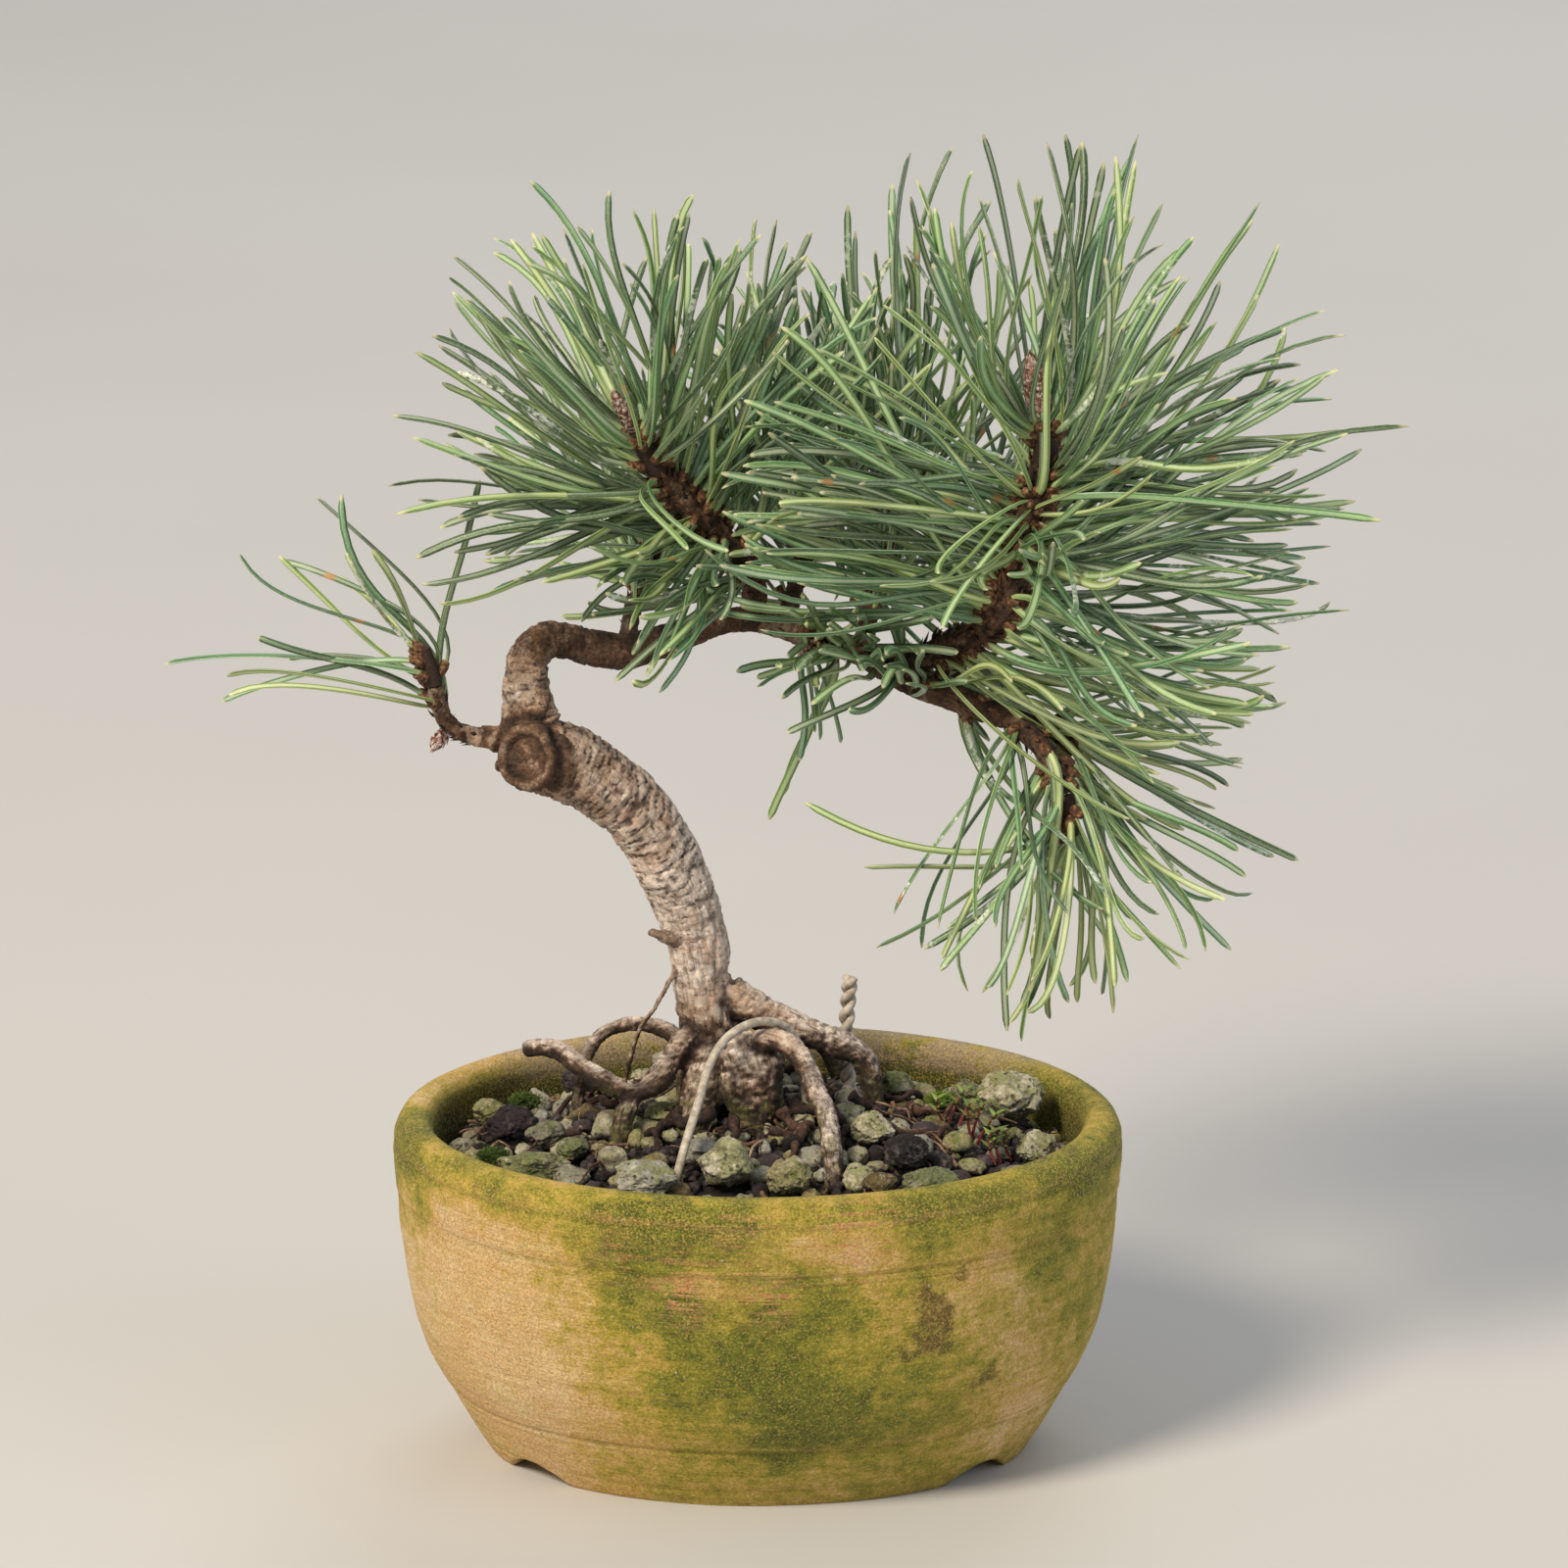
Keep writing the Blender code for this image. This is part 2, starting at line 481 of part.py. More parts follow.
def make_drainage(side, word):
    """The square mesh over one hole, and the clip whose legs go down through it and bend outwards."""
    half = MESH_SIDE / 2
    base = FLOOR_TOP + GAP
    work = bmesh.new()
    bmesh.ops.create_cube(work, size=1.0)
    for vertex in work.verts:
        x, y, z = vertex.co
        vertex.co = Vector((x * MESH_SIDE + side * HOLE_X, y * MESH_SIDE, (z + 0.5) * MESH_THICKNESS + base))
    mesh = object_of("drainage_mesh_" + word, work, "black_plastic", smooth=False)
    pitch = (MESH_SIDE - MESH_BAR) / MESH_CELLS
    cell_side = pitch - MESH_BAR
    holes = bmesh.new()
    for i in range(MESH_CELLS):
        for j in range(MESH_CELLS):
            cell = bmesh.ops.create_cube(holes, size=1.0)["verts"]
            cx = side * HOLE_X - half + MESH_BAR / 2 + (i + 0.5) * pitch
            cy = -half + MESH_BAR / 2 + (j + 0.5) * pitch
            for vertex in cell:
                x, y, z = vertex.co
                vertex.co = Vector((x * cell_side + cx, y * cell_side + cy, z * 4 + base))
    boolean(mesh, [object_of("mesh_cells_" + word, holes, None)], "DIFFERENCE")
    leg = pitch
    top = base + MESH_THICKNESS + GAP + CLIP_RADIUS
    low = FOOT_RECESS - GAP - CLIP_RADIUS
    x = side * HOLE_X
    route = [
        (x, -leg - CLIP_REACH, low), (x, -leg - 1.0, low), (x, -leg, low + 1.0), (x, -leg, top - 0.8),
        (x, -leg + 0.8, top), (x, -1.4, top),
    ]
    if side < 0:
        route = [(px - leg, py, pz) for px, py, pz in route]
    mirrored = [(px, -py, pz) for px, py, pz in reversed(route)]
    tube("mesh_clip_" + word, route + mirrored, "clip_wire", radius=CLIP_RADIUS, sides=6, step=2.2)


def scar(name):
    """The healed ring round the cut end of an old branch."""
    facing = Vector(SCAR_FACING).normalized()
    across = facing.cross(Vector((0, 0, 1))).normalized()
    upward = across.cross(facing).normalized()
    work = bmesh.new()
    loops = []
    for radius, lift in SCAR_PROFILE:
        ring = []
        for k in range(SCAR_SIDES):
            turn = 2 * math.pi * k / SCAR_SIDES
            place = Vector(SCAR_CENTRE) + facing * lift
            place += radius * (SCAR_STRETCH * math.sin(turn) * upward + math.cos(turn) * across)
            ring.append(work.verts.new(place))
        loops.append(ring)
    for lower, upper in zip(loops, loops[1:]):
        bridge(work, lower, upper)
    work.faces.new(list(reversed(loops[0])))
    work.faces.new(loops[-1])
    return object_of(name, work, None)


def branch_routes():
    routes = {
        "leader": LEADER_ROUTE, "side_twig": SIDE_TWIG_ROUTE, "left_crown": LEFT_CROWN_ROUTE,
        "back_twig": BACK_TWIG_ROUTE, "right_crown": RIGHT_CROWN_ROUTE, "droop": DROOP_ROUTE,
    }
    routes.update(MIDDLE_ROUTES)
    return routes


def make_tree():
    """Trunk, branches and roots joined into one solid."""
    tree = tube("tree_wood", TRUNK_ROUTE, "bark", sides=12, step=4.5)
    limbs = []
    for name, route in branch_routes().items():
        limbs.append(tube("limb_" + name, route, sides=8 if name == "leader" else 7, step=5.0))
    for name, route in ROOT_ROUTES.items():
        limbs.append(tube("root_" + name, route, sides=7, step=4.0))
    boolean(tree, limbs + [scar("branch_scar")], "UNION")
    return tree


def soil_height(x, y):
    reach = math.hypot(x / (POT_A - LINING_INSET), y / (POT_B - LINING_INSET * SHORT_AXIS_TUCK))
    reach = min(1.0, reach)
    ripple = math.sin(0.31 * x + 0.7) * math.cos(0.37 * y - 0.4)
    return SOIL_EDGE + SOIL_RISE * (1 - reach ** 2) + SOIL_RIPPLE * ripple * (1 - reach)


def make_soil():
    rings = [oval(inset, height, SOIL_SEGMENTS) for inset, height in SOIL_WALL]
    for share in (1.0, *SOIL_TOP_RINGS):
        places = [point * share for point in oval(LINING_INSET, 0, SOIL_SEGMENTS)]
        rings.append([Vector((p.x, p.y, soil_height(p.x, p.y))) for p in places])
    soil = object_of("soil_bed", stack_rings(rings), "soil")
    rooms = [tube("room_trunk", TRUNK_ROUTE[:4], sides=12, step=4.5, grow=GAP)]
    for name, route in ROOT_ROUTES.items():
        rooms.append(tube("room_" + name, route, sides=7, step=4.0, grow=GAP))
    rooms.append(tube("room_tie", TIE_WIRE_ROUTE, radius=WIRE_RADIUS + GAP, sides=7, step=4.0))
    rooms.append(twisted("room_anchor", None, GAP))
    for side in (-1, 1):
        work = bmesh.new()
        bmesh.ops.create_cube(work, size=1.0)
        width = MESH_SIDE + 2 * GAP
        for vertex in work.verts:
            x, y, z = vertex.co
            vertex.co = Vector((x * width + side * HOLE_X, y * width, z * MESH_ROOM_HEIGHT + FLOOR_TOP))
        rooms.append(object_of("room_mesh_%d" % side, work, None))
    boolean(soil, rooms, "DIFFERENCE")
    return soil


def boulder(name, place, kind, seed):
    """A lumpy stone that rests a gap above the soil."""
    x, y, rx, ry, rz = place
    dice = random.Random(seed)
    work = bmesh.new()
    bmesh.ops.create_icosphere(work, subdivisions=2, radius=1.0)
    leans = []
    for _ in range(STONE_FACETS):
        leans.append(Vector((dice.uniform(-1, 1), dice.uniform(-1, 1), dice.uniform(-1, 1))).normalized())
    for vertex in work.verts:
        direction = vertex.co.normalized()
        size = 1.0
        for lean in leans:
            size -= FACET_DEPTH * max(0.0, direction.dot(lean) - FACET_START)
        vertex.co = Vector((direction.x * rx * size, direction.y * ry * size, direction.z * rz * size))
    lift = max(soil_height(x + v.co.x, y + v.co.y) - v.co.z for v in work.verts) + GAP
    for vertex in work.verts:
        vertex.co += Vector((x, y, lift))
    return object_of(name, work, kind, smooth=kind == "mossy")


def make_ground_cover():
    for number, (name, place) in enumerate(STONES.items()):
        kind = "lava" if "lava" in name else "pumice" if "pumice" in name else "grit"
        boulder(name, place, kind, STONE_SEED + number)
    for number, (name, place) in enumerate(MOSS.items()):
        boulder(name, place, "mossy", MOSS_SEED + number)


def twisted(name, kind, grow):
    """Two strands twisted together, as one body of two lobes that turn as they rise."""
    places, _ = smooth_route(ANCHOR_ROUTE, ANCHOR_STEP)
    middle, swing = ANCHOR_LOBES
    rings = []
    for i, (place, (u, v)) in enumerate(zip(places, frames_along(places))):
        turn = math.pi * 2 * ANCHOR_TURNS * i / (len(places) - 1)
        ring = []
        for k in range(ANCHOR_SIDES):
            angle = 2 * math.pi * k / ANCHOR_SIDES
            size = ANCHOR_STRAND * (middle + swing * math.cos(2 * angle))
            if grow:
                size = ANCHOR_STRAND * (middle + swing) + grow * 1.6  # a round room that clears the lobes
            ring.append(place + size * (math.cos(angle + turn) * u + math.sin(angle + turn) * v))
        rings.append(ring)
    return object_of(name, stack_rings(rings), kind)


def seat_on_branch(point, up):
    """The nearest place on a branch's middle line, its radius there, and the way out square to it."""
    best = None
    for route in branch_routes().values():
        places, values = smooth_route(route, 1.0)
        for i in range(1, len(places) - 1):
            distance = (places[i] - point).length
            if best is None or distance < best[0]:
                along = (places[i + 1] - places[i - 1]).normalized()
                best = (distance, places[i], values[i][0], along)
    _, place, radius, along = best
    return place, radius, (up - along * up.dot(along)).normalized()


def wood_samples():
    """Points along all the wood with their radii, to seat shoots on and to keep needles off."""
    samples = []
    for route in [TRUNK_ROUTE, *branch_routes().values(), *ROOT_ROUTES.values()]:
        places, values = smooth_route(route, 1.0)
        samples += [(place, value[0]) for place, value in zip(places, values)]
    return samples


def shoot_base(spec):
    """Where a shoot's first face sits and which way it points: on a limb's end, or on a limb's side."""
    up = Vector(spec["up"]).normalized()
    if "on" in spec:
        place, ahead, radius = route_end(branch_routes()[spec["on"][: -len("_end")]])
        return place + ahead * GAP, ahead, up, radius
    place, radius, out = seat_on_branch(Vector(spec["at"]), up)
    return place + out * (radius + GAP), out, up, SIDE_SHOOT_RADIUS


def shoot_core(spec):
    """Rings of the shoot's stem, which leaves square to its seat and turns to its own direction."""
    place, ahead, up, radius = shoot_base(spec)
    places = [place]
    for k in range(1, STEM_RINGS + 1):
        blend = STEM_TURN * min(1.0, k / 3)
        direction = (ahead * (1 - blend) + up * blend).normalized()
        places.append(places[-1] + direction * spec["length"] / STEM_RINGS)
    sizes = [radius * (1 - STEM_TAPER * (k / STEM_RINGS) ** 2) for k in range(STEM_RINGS + 1)]
    return places, sizes


def needle_path(start, outward, length, aim, dice):
    """Points from base to tip: off the stem, then bending towards the shoot's aim."""
    bend = Vector((dice.uniform(-1, 1), dice.uniform(-1, 1), dice.uniform(-0.6, 1))) * 0.12
    heading = (outward * 0.75 + aim * 0.9).normalized()
    later = (outward * 0.4 + aim * 1.1 + bend).normalized()
    middle = start + heading * length * 0.5
    return [start, middle, middle + later * length * 0.5]


def within_reach(path):
    """Shortens a needle that would pass the tree's outer limits."""
    start, _, tip = path
    share = 1.0
    for axis in range(3):
        limit = REACH[axis] if tip[axis] > 0 else -REACH[axis]
        if abs(tip[axis]) > REACH[axis]:
            share = min(share, (limit - start[axis]) / (tip[axis] - start[axis]))
    return [start + (point - start) * share for point in path]


def sampled(path, step=1.6):
    points = []
    for a, b in zip(path, path[1:]):
        count = max(1, round((b - a).length / step))
        points += [a + (b - a) * (k / count) for k in range(count)]
    return points + [path[-1]]


class Crowd:
    """What has been placed so far, in coarse cells, to keep one shoot's needles off the next one's."""

    SIDE = 6.0

    def __init__(self):
        self.cells = {}

    def cell(self, point):
        return tuple(int(math.floor(c / self.SIDE)) for c in point)

    def add(self, points, radius, owner):
        for point in points:
            self.cells.setdefault(self.cell(point), []).append((point, radius, owner))

    def clear(self, points, radius, owner, room):
        for point in points:
            cx, cy, cz = self.cell(point)
            for x in (cx - 1, cx, cx + 1):
                for y in (cy - 1, cy, cy + 1):
                    for z in (cz - 1, cz, cz + 1):
                        for other, size, whose in self.cells.get((x, y, z), ()):
                            if whose != owner and (other - point).length < size + radius + room:
                                return False
        return True


def grow_needle(work, face, path):
    """Extrudes one face of the stem along a path, tapering to a blunt tip."""
    sizes = [NEEDLE_RADIUS * share for share in NEEDLE_TAPER]
    for k in (1, 2):
        made = bmesh.ops.extrude_discrete_faces(work, faces=[face])
        face = made["faces"][0]
        ahead = (path[k] - path[k - 1]).normalized()
        across = (face.verts[0].co - face.calc_center_median())
        across = (across - ahead * across.dot(ahead)).normalized()
        other = ahead.cross(across)
        turn = 1 if other.dot(face.verts[1].co - face.calc_center_median()) > 0 else -1
        for n, vertex in enumerate(face.verts):
            angle = turn * math.pi / 2 * n
            vertex.co = path[k] + sizes[k] * (math.cos(angle) * across + math.sin(angle) * other)


def make_shoot(name, spec, crowd):
    dice = random.Random("needles " + name)
    places, sizes = shoot_core(spec)
    rings = []
    for place, size, (u, v) in zip(places, sizes, frames_along(places)):
        turns = [2 * math.pi * k / CORE_SIDES for k in range(CORE_SIDES)]
        rings.append([place + size * (math.cos(t) * u + math.sin(t) * v) for t in turns])
    work = stack_rings(rings)
    bmesh.ops.recalc_face_normals(work, faces=work.faces[:])
    work.faces.ensure_lookup_table()
    first_row = places[1] - places[0]
    quads = [face for face in work.faces if len(face.verts) == 4]
    quads = [face for face in quads if (face.calc_center_median() - places[1]).dot(first_row) > 0]
    dice.shuffle(quads)
    crowd.add(sampled(places, 1.0), max(sizes), name)
    aim = Vector(spec["aim"]).normalized()
    spread = SPREAD_SHARE * math.sin(math.radians(spec["spread"]))
    targets = [Vector(tip) for tip in REACHING.get(name, [])]
    grown = 0
    for face in quads:
        if grown >= spec["needles"] and not targets:
            break
        start = face.calc_center_median()
        outward = face.normal.copy()
        done = False
        for attempt in range(TRIES):
            aimed = bool(targets) and attempt < AIMED_TRIES
            if aimed:
                target = max(targets, key=lambda tip: outward.dot(tip - start))
                middle = (start + target) / 2 + outward * (1.0 + attempt * 0.9)
                path = [start, middle, target]
            else:
                tilt = Vector((dice.gauss(0, 1), dice.gauss(0, 1), dice.gauss(0, 1))) * spread
                heading = (aim + tilt).normalized()
                path = within_reach(needle_path(start, outward, dice.uniform(*spec["size"]), heading, dice))
            points = sampled(path)
            if outward.dot((path[1] - path[0]).normalized()) < (0.02 if aimed else 0.12):
                continue
            if min(point.z for point in points) < LOWEST_NEEDLE:
                continue
            done = crowd.clear(points[2:], NEEDLE_RADIUS, name, NEEDLE_ROOM)
            done = done and crowd.clear(points[4:], NEEDLE_RADIUS, name + " stem", 0.1)
            if done:
                break
        if not done:
            continue
        if aimed:
            targets.remove(target)
        grow_needle(work, face, path)
        crowd.add(points, NEEDLE_RADIUS, name)
        grown += 1
    return object_of("shoot_" + name, work, "needle")


def make_bud(name, spec):
    """A pointed bud, seated on the end of a shoot or on the side of a branch."""
    if "on" in spec:
        places, _ = shoot_core(SHOOTS[spec["on"]])
        up = (places[-1] - places[-2]).normalized()
        base = places[-1] + up * GAP
    else:
        place, radius, up = seat_on_branch(Vector(spec["at"]), Vector(spec["up"]).normalized())
        base = place + up * (radius + GAP)
    side = up.cross(Vector((0.3, 0.9, 0.2))).normalized()
    other = up.cross(side)
    rings = []
    turns = [2 * math.pi * k / BUD_SIDES for k in range(BUD_SIDES)]
    for share, width in BUD_PROFILE:
        middle = base + up * spec["length"] * share
        size = spec["radius"] * width
        rings.append([middle + size * (math.cos(t) * side + math.sin(t) * other) for t in turns])
    return object_of(name, stack_rings(rings), "bud"), base, up


def make_crown():
    crowd = Crowd()
    for place, radius in wood_samples():
        crowd.add([place], radius, "wood")
    for name, spec in BUDS.items():
        _, base, up = make_bud(name, spec)
        crowd.add([base + up * spec["length"] * k / 8 for k in range(9)], spec["radius"], name)
    for name, spec in SHOOTS.items():
        places, sizes = shoot_core(spec)
        crowd.add(sampled(places, 1.0), max(sizes), name + " stem")
    for name, spec in SHOOTS.items():
        make_shoot(name, spec, crowd)


def main():
    clear_scene()
    make_pot()
    for side, word in ((-1, "left"), (1, "right")):
        make_drainage(side, word)
    make_tree()
    make_soil()
    tube("tie_down_wire", TIE_WIRE_ROUTE, "cream_wire", radius=WIRE_RADIUS, sides=7, step=4.0)
    twisted("anchor_wire", "cream_wire", 0.0)
    make_ground_cover()
    make_crown()


main()
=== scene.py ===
import math
import random

import bmesh
import bpy
import numpy as np
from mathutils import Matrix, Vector, noise


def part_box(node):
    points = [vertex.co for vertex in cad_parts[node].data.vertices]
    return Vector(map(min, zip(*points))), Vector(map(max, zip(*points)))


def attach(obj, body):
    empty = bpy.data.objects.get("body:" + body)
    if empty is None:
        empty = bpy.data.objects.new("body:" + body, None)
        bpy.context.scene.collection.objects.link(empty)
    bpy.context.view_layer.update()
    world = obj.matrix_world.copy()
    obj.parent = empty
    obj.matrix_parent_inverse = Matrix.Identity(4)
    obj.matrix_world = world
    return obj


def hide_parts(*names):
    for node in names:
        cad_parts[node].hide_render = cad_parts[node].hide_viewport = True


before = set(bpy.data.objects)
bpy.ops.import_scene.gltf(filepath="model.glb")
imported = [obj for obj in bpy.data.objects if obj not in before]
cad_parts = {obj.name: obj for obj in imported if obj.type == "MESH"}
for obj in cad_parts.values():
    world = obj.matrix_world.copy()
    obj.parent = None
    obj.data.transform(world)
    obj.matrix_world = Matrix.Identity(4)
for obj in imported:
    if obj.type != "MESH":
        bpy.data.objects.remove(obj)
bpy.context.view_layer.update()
mm = 0.001  # sizes below are in millimetres, and each mesh is scaled once when it is made


# a few hands for shapes

def say(text):
    print("bonsai:", text)


def unit(vector):
    return np.asarray(vector, float) / np.linalg.norm(vector)


def smoothRoute(route, step):  # a curve through the route's points; every column is carried along
    knots = np.asarray(route, float)
    padded = np.vstack([knots[:1], knots, knots[-1:]])
    rows = []
    for i in range(len(knots) - 1):
        a, b, c, d = padded[i:i + 4]
        count = max(1, round(float(np.linalg.norm((c - b)[:3])) / step))
        t = np.arange(count)[:, None] / count
        bend, twist = 2 * a - 5 * b + 4 * c - d, 3 * b - a - 3 * c + d
        rows.append(b + 0.5 * ((c - a) * t + bend * t ** 2 + twist * t ** 3))
    rows.append(knots[-1:])
    return np.vstack(rows)


def framesAlong(points, start=(0.31, 0.95, 0.12)):  # two directions across a curve, with no sudden turns
    ahead = np.gradient(points, axis=0)
    ahead /= np.linalg.norm(ahead, axis=1)[:, None]
    across = np.zeros_like(points)
    last = np.cross(ahead[0], unit(start))
    for i, way in enumerate(ahead):
        last = unit(last - way * last.dot(way))
        across[i] = last
    return ahead, across, np.cross(ahead, across)


def ringFaces(rows, sides, caps=True):
    faces = []
    for i in range(rows - 1):
        for k in range(sides):
            a = i * sides + k
            b = i * sides + (k + 1) % sides
            faces.append((a, b, b + sides, a + sides))
    if caps:
        faces.append(tuple(range(sides - 1, -1, -1)))
        faces.append(tuple((rows - 1) * sides + k for k in range(sides)))
    return faces


def roundTube(points, radii, sides):
    _, across, other = framesAlong(points)
    turn = turns(sides)
    ring = np.cos(turn)[None, :, None] * across[:, None] + np.sin(turn)[None, :, None] * other[:, None]
    radii = np.broadcast_to(np.asarray(radii, float), (len(points),))
    shape = points[:, None] + ring * radii[:, None, None]
    return shape.reshape(-1, 3), ringFaces(len(points), sides)


def soften(value, low, high):
    share = np.clip((np.asarray(value, float) - low) / (high - low), 0, 1)
    return share * share * (3 - 2 * share)


def wave(x, y, z):  # smooth noise at a place, from about -1 to 1
    return noise.noise(Vector((x, y, z)))


def turns(count):  # equal steps round a circle
    return np.arange(count) * 2 * math.pi / count


def boxOf(node):  # a CAD node's middle and half size, in millimetres
    low, high = (np.array(corner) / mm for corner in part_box(node))
    return (low + high) / 2, (high - low) / 2


def setMark(mesh, name, values):  # one number for each point, which the material reads
    layer = mesh.attributes.new(name, "FLOAT", "POINT")
    layer.data.foreach_set("value", np.asarray(values).astype(np.float32))


def camel(name):  # "moss_right" as "mossRight"
    words = name.split("_")
    return words[0] + "".join(word.capitalize() for word in words[1:])


class Batch:  # gathers shapes, with a few numbers for each point, that end up in one mesh
    def __init__(self):
        self.points = []
        self.faces = []
        self.slots = []
        self.marks = {}
        self.count = 0

    def add(self, points, faces, slot=0, **marks):
        start = self.count
        self.points.append(np.asarray(points, float))
        self.faces += [tuple(i + start for i in face) for face in faces]
        self.slots += [slot] * len(faces)
        for name, value in marks.items():
            self.marks.setdefault(name, []).append(np.broadcast_to(np.asarray(value, float), (len(points),)))
        self.count += len(points)

    def build(self, name, materials, nodes=(), sharp=48):
        mesh = bpy.data.meshes.new(name)
        mesh.from_pydata((np.concatenate(self.points) * mm).tolist(), [], self.faces)
        mesh.polygons.foreach_set("material_index", self.slots)
        mesh.shade_smooth()
        mesh.set_sharp_from_angle(angle=math.radians(sharp))
        for mark, parts in self.marks.items():
            setMark(mesh, mark, np.concatenate(parts))
        return asPiece(name, mesh, materials, nodes)


def asPiece(name, mesh, materials, nodes=()):
    for material in materials:
        mesh.materials.append(material)
    piece = bpy.data.objects.new(name, mesh)
    bpy.context.scene.collection.objects.link(piece)
    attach(piece, "root")
    if nodes:
        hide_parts(*nodes)
    return piece


# a few hands for shaders

def linear(code):  # "d9b378" as the linear colour that a shader takes
    parts = [int(code[i:i + 2], 16) / 255 for i in (0, 2, 4)]
    return tuple(c / 12.92 if c <= 0.04045 else ((c + 0.055) / 1.055) ** 2.4 for c in parts) + (1.0,)


class Wire:  # a node's output that plain sums work on
    def __init__(self, net, socket):
        self.net, self.socket = net, socket

    def __add__(self, other):
        return self.net.math("ADD", self, other)

    def __sub__(self, other):
        return self.net.math("SUBTRACT", self, other)

    def __rsub__(self, other):
        return self.net.math("SUBTRACT", other, self)

    def __mul__(self, other):
        return self.net.math("MULTIPLY", self, other)

    def __rtruediv__(self, other):
        return self.net.math("DIVIDE", other, self)


class Net:  # lays nodes out from left to right and links them
    def __init__(self, tree):
        self.tree = tree
        self.column = 0

    def add(self, kind, given=(), **settings):  # given: the inputs by number or name
        node = self.tree.nodes.new(kind)
        node.location = (self.column * 170, -(self.column % 5) * 190)
        self.column += 1
        for name, value in settings.items():
            setattr(node, name, value)
        for label, value in given.items() if isinstance(given, dict) else enumerate(given):
            self.put(node.inputs[label], value)
        return node

    def take(self, output, kind, given=(), **settings):  # a new node's output, by number or name
        return Wire(self, self.add(kind, given, **settings).outputs[output])

    def put(self, socket, value):
        if isinstance(value, Wire):
            self.tree.links.new(value.socket, socket)
        elif value is not None:
            socket.default_value = linear(value) if isinstance(value, str) else value

    def math(self, operation, a, b=None):
        return self.take(0, "ShaderNodeMath", (a, b), operation=operation)

    def part(self, value, times):  # a lot number turned into another one, from 0 to 1
        return self.math("FRACT", value * times)

    def span(self, value, low, high, toLow=0.0, toHigh=1.0):
        given = (value, low, high, toLow, toHigh)
        return self.take(0, "ShaderNodeMapRange", given, interpolation_type="SMOOTHSTEP")

    def mix(self, share, a, b, mode="MIX"):
        return self.take(2, "ShaderNodeMix", {0: share, 6: a, 7: b}, data_type="RGBA", blend_type=mode)

    def coats(self, skin, *layers):  # (share, colour, perhaps a blend mode) laid on one after another
        for share, *tint in layers:
            skin = self.mix(share, skin, *tint)
        return skin

    def noise(self, vector, scale, detail=3.0, rough=0.55, warp=0.0):  # three scales stretch it first
        if isinstance(scale, tuple):
            vector, scale = self.stretch(vector, *scale), 1.0
        given = {"Vector": vector, "Scale": scale, "Detail": detail, "Roughness": rough, "Distortion": warp}
        return self.take(0, "ShaderNodeTexNoise", given)

    def cells(self, vector, scale):
        return self.take("Distance", "ShaderNodeTexVoronoi", {"Vector": vector, "Scale": scale})

    def ramp(self, value, stops):
        node = self.add("ShaderNodeValToRGB", (value,))
        band = node.color_ramp
        while len(band.elements) < len(stops):
            band.elements.new(0.5)
        for element, (place, code) in zip(band.elements, stops):
            element.position = place
            element.color = linear(code)
        return Wire(self, node.outputs[0])

    def stretch(self, vector, x, y, z):
        return self.take(0, "ShaderNodeVectorMath", (vector, (x, y, z)), operation="MULTIPLY")

    def parts(self, vector):
        node = self.add("ShaderNodeSeparateXYZ", (vector,))
        return [Wire(self, output) for output in node.outputs]

    def place(self):  # where a point is on the object, in millimetres
        return self.stretch(self.take("Object", "ShaderNodeTexCoord"), 1 / mm, 1 / mm, 1 / mm)

    def upward(self):  # how far a face looks up, from -1 to 1
        return self.parts(self.take("Normal", "ShaderNodeNewGeometry"))[2]

    def mark(self, name):
        return self.take("Fac", "ShaderNodeAttribute", attribute_name=name)

    def use(self, group, **given):
        node = self.add("ShaderNodeGroup", node_tree=group)
        for name, value in given.items():
            self.put(node.inputs[name], value)
        return {output.name: Wire(self, output) for output in node.outputs}

    def blots(self, vector, places):  # soft round places, (x, y, z, reach, strength), added together
        total = None
        for x, y, z, reach, strength in places:
            away = self.take("Value", "ShaderNodeVectorMath", (vector, (x, y, z)), operation="DISTANCE")
            blot = self.span(away, reach * 0.15, reach * 1.25, strength, 0.0)
            total = blot if total is None else total + blot
        return total

    def sway(self, value, by):  # a noise value turned into a push up or down
        return (value - 0.5) * by

    def dress(self, out, skin, relief=None, strength=1.0, depth=0.0, rough=None):  # fills the shader's inputs
        self.put(out["Base Color"], skin)
        self.put(out["Roughness"], rough)
        if relief:
            given = {"Strength": strength, "Distance": depth, "Height": relief}
            self.put(out["Normal"], self.take(0, "ShaderNodeBump", given))


def newGroup(name, inputs, outputs):  # every group takes a place, and numbers besides
    tree = bpy.data.node_groups.new(name, "ShaderNodeTree")
    tree.interface.new_socket("Vector", in_out="INPUT", socket_type="NodeSocketVector")
    for way, labels in (("INPUT", inputs), ("OUTPUT", outputs)):
        for label in labels:
            tree.interface.new_socket(label, in_out=way, socket_type="NodeSocketFloat")
    net = Net(tree)
    given = {socket.name: Wire(net, socket) for socket in net.add("NodeGroupInput").outputs}
    return tree, net, given, net.add("NodeGroupOutput").inputs


def newMaterial(name, roughness=0.8, metallic=0.0, **constants):
    material = bpy.data.materials.new(name)
    material.use_nodes = True
    shader = material.node_tree.nodes["Principled BSDF"]
    shader.inputs["Roughness"].default_value = roughness
    shader.inputs["Metallic"].default_value = metallic
    for label, value in constants.items():
        shader.inputs[label.replace("_", " ")].default_value = value
    return material, Net(material.node_tree), shader.inputs


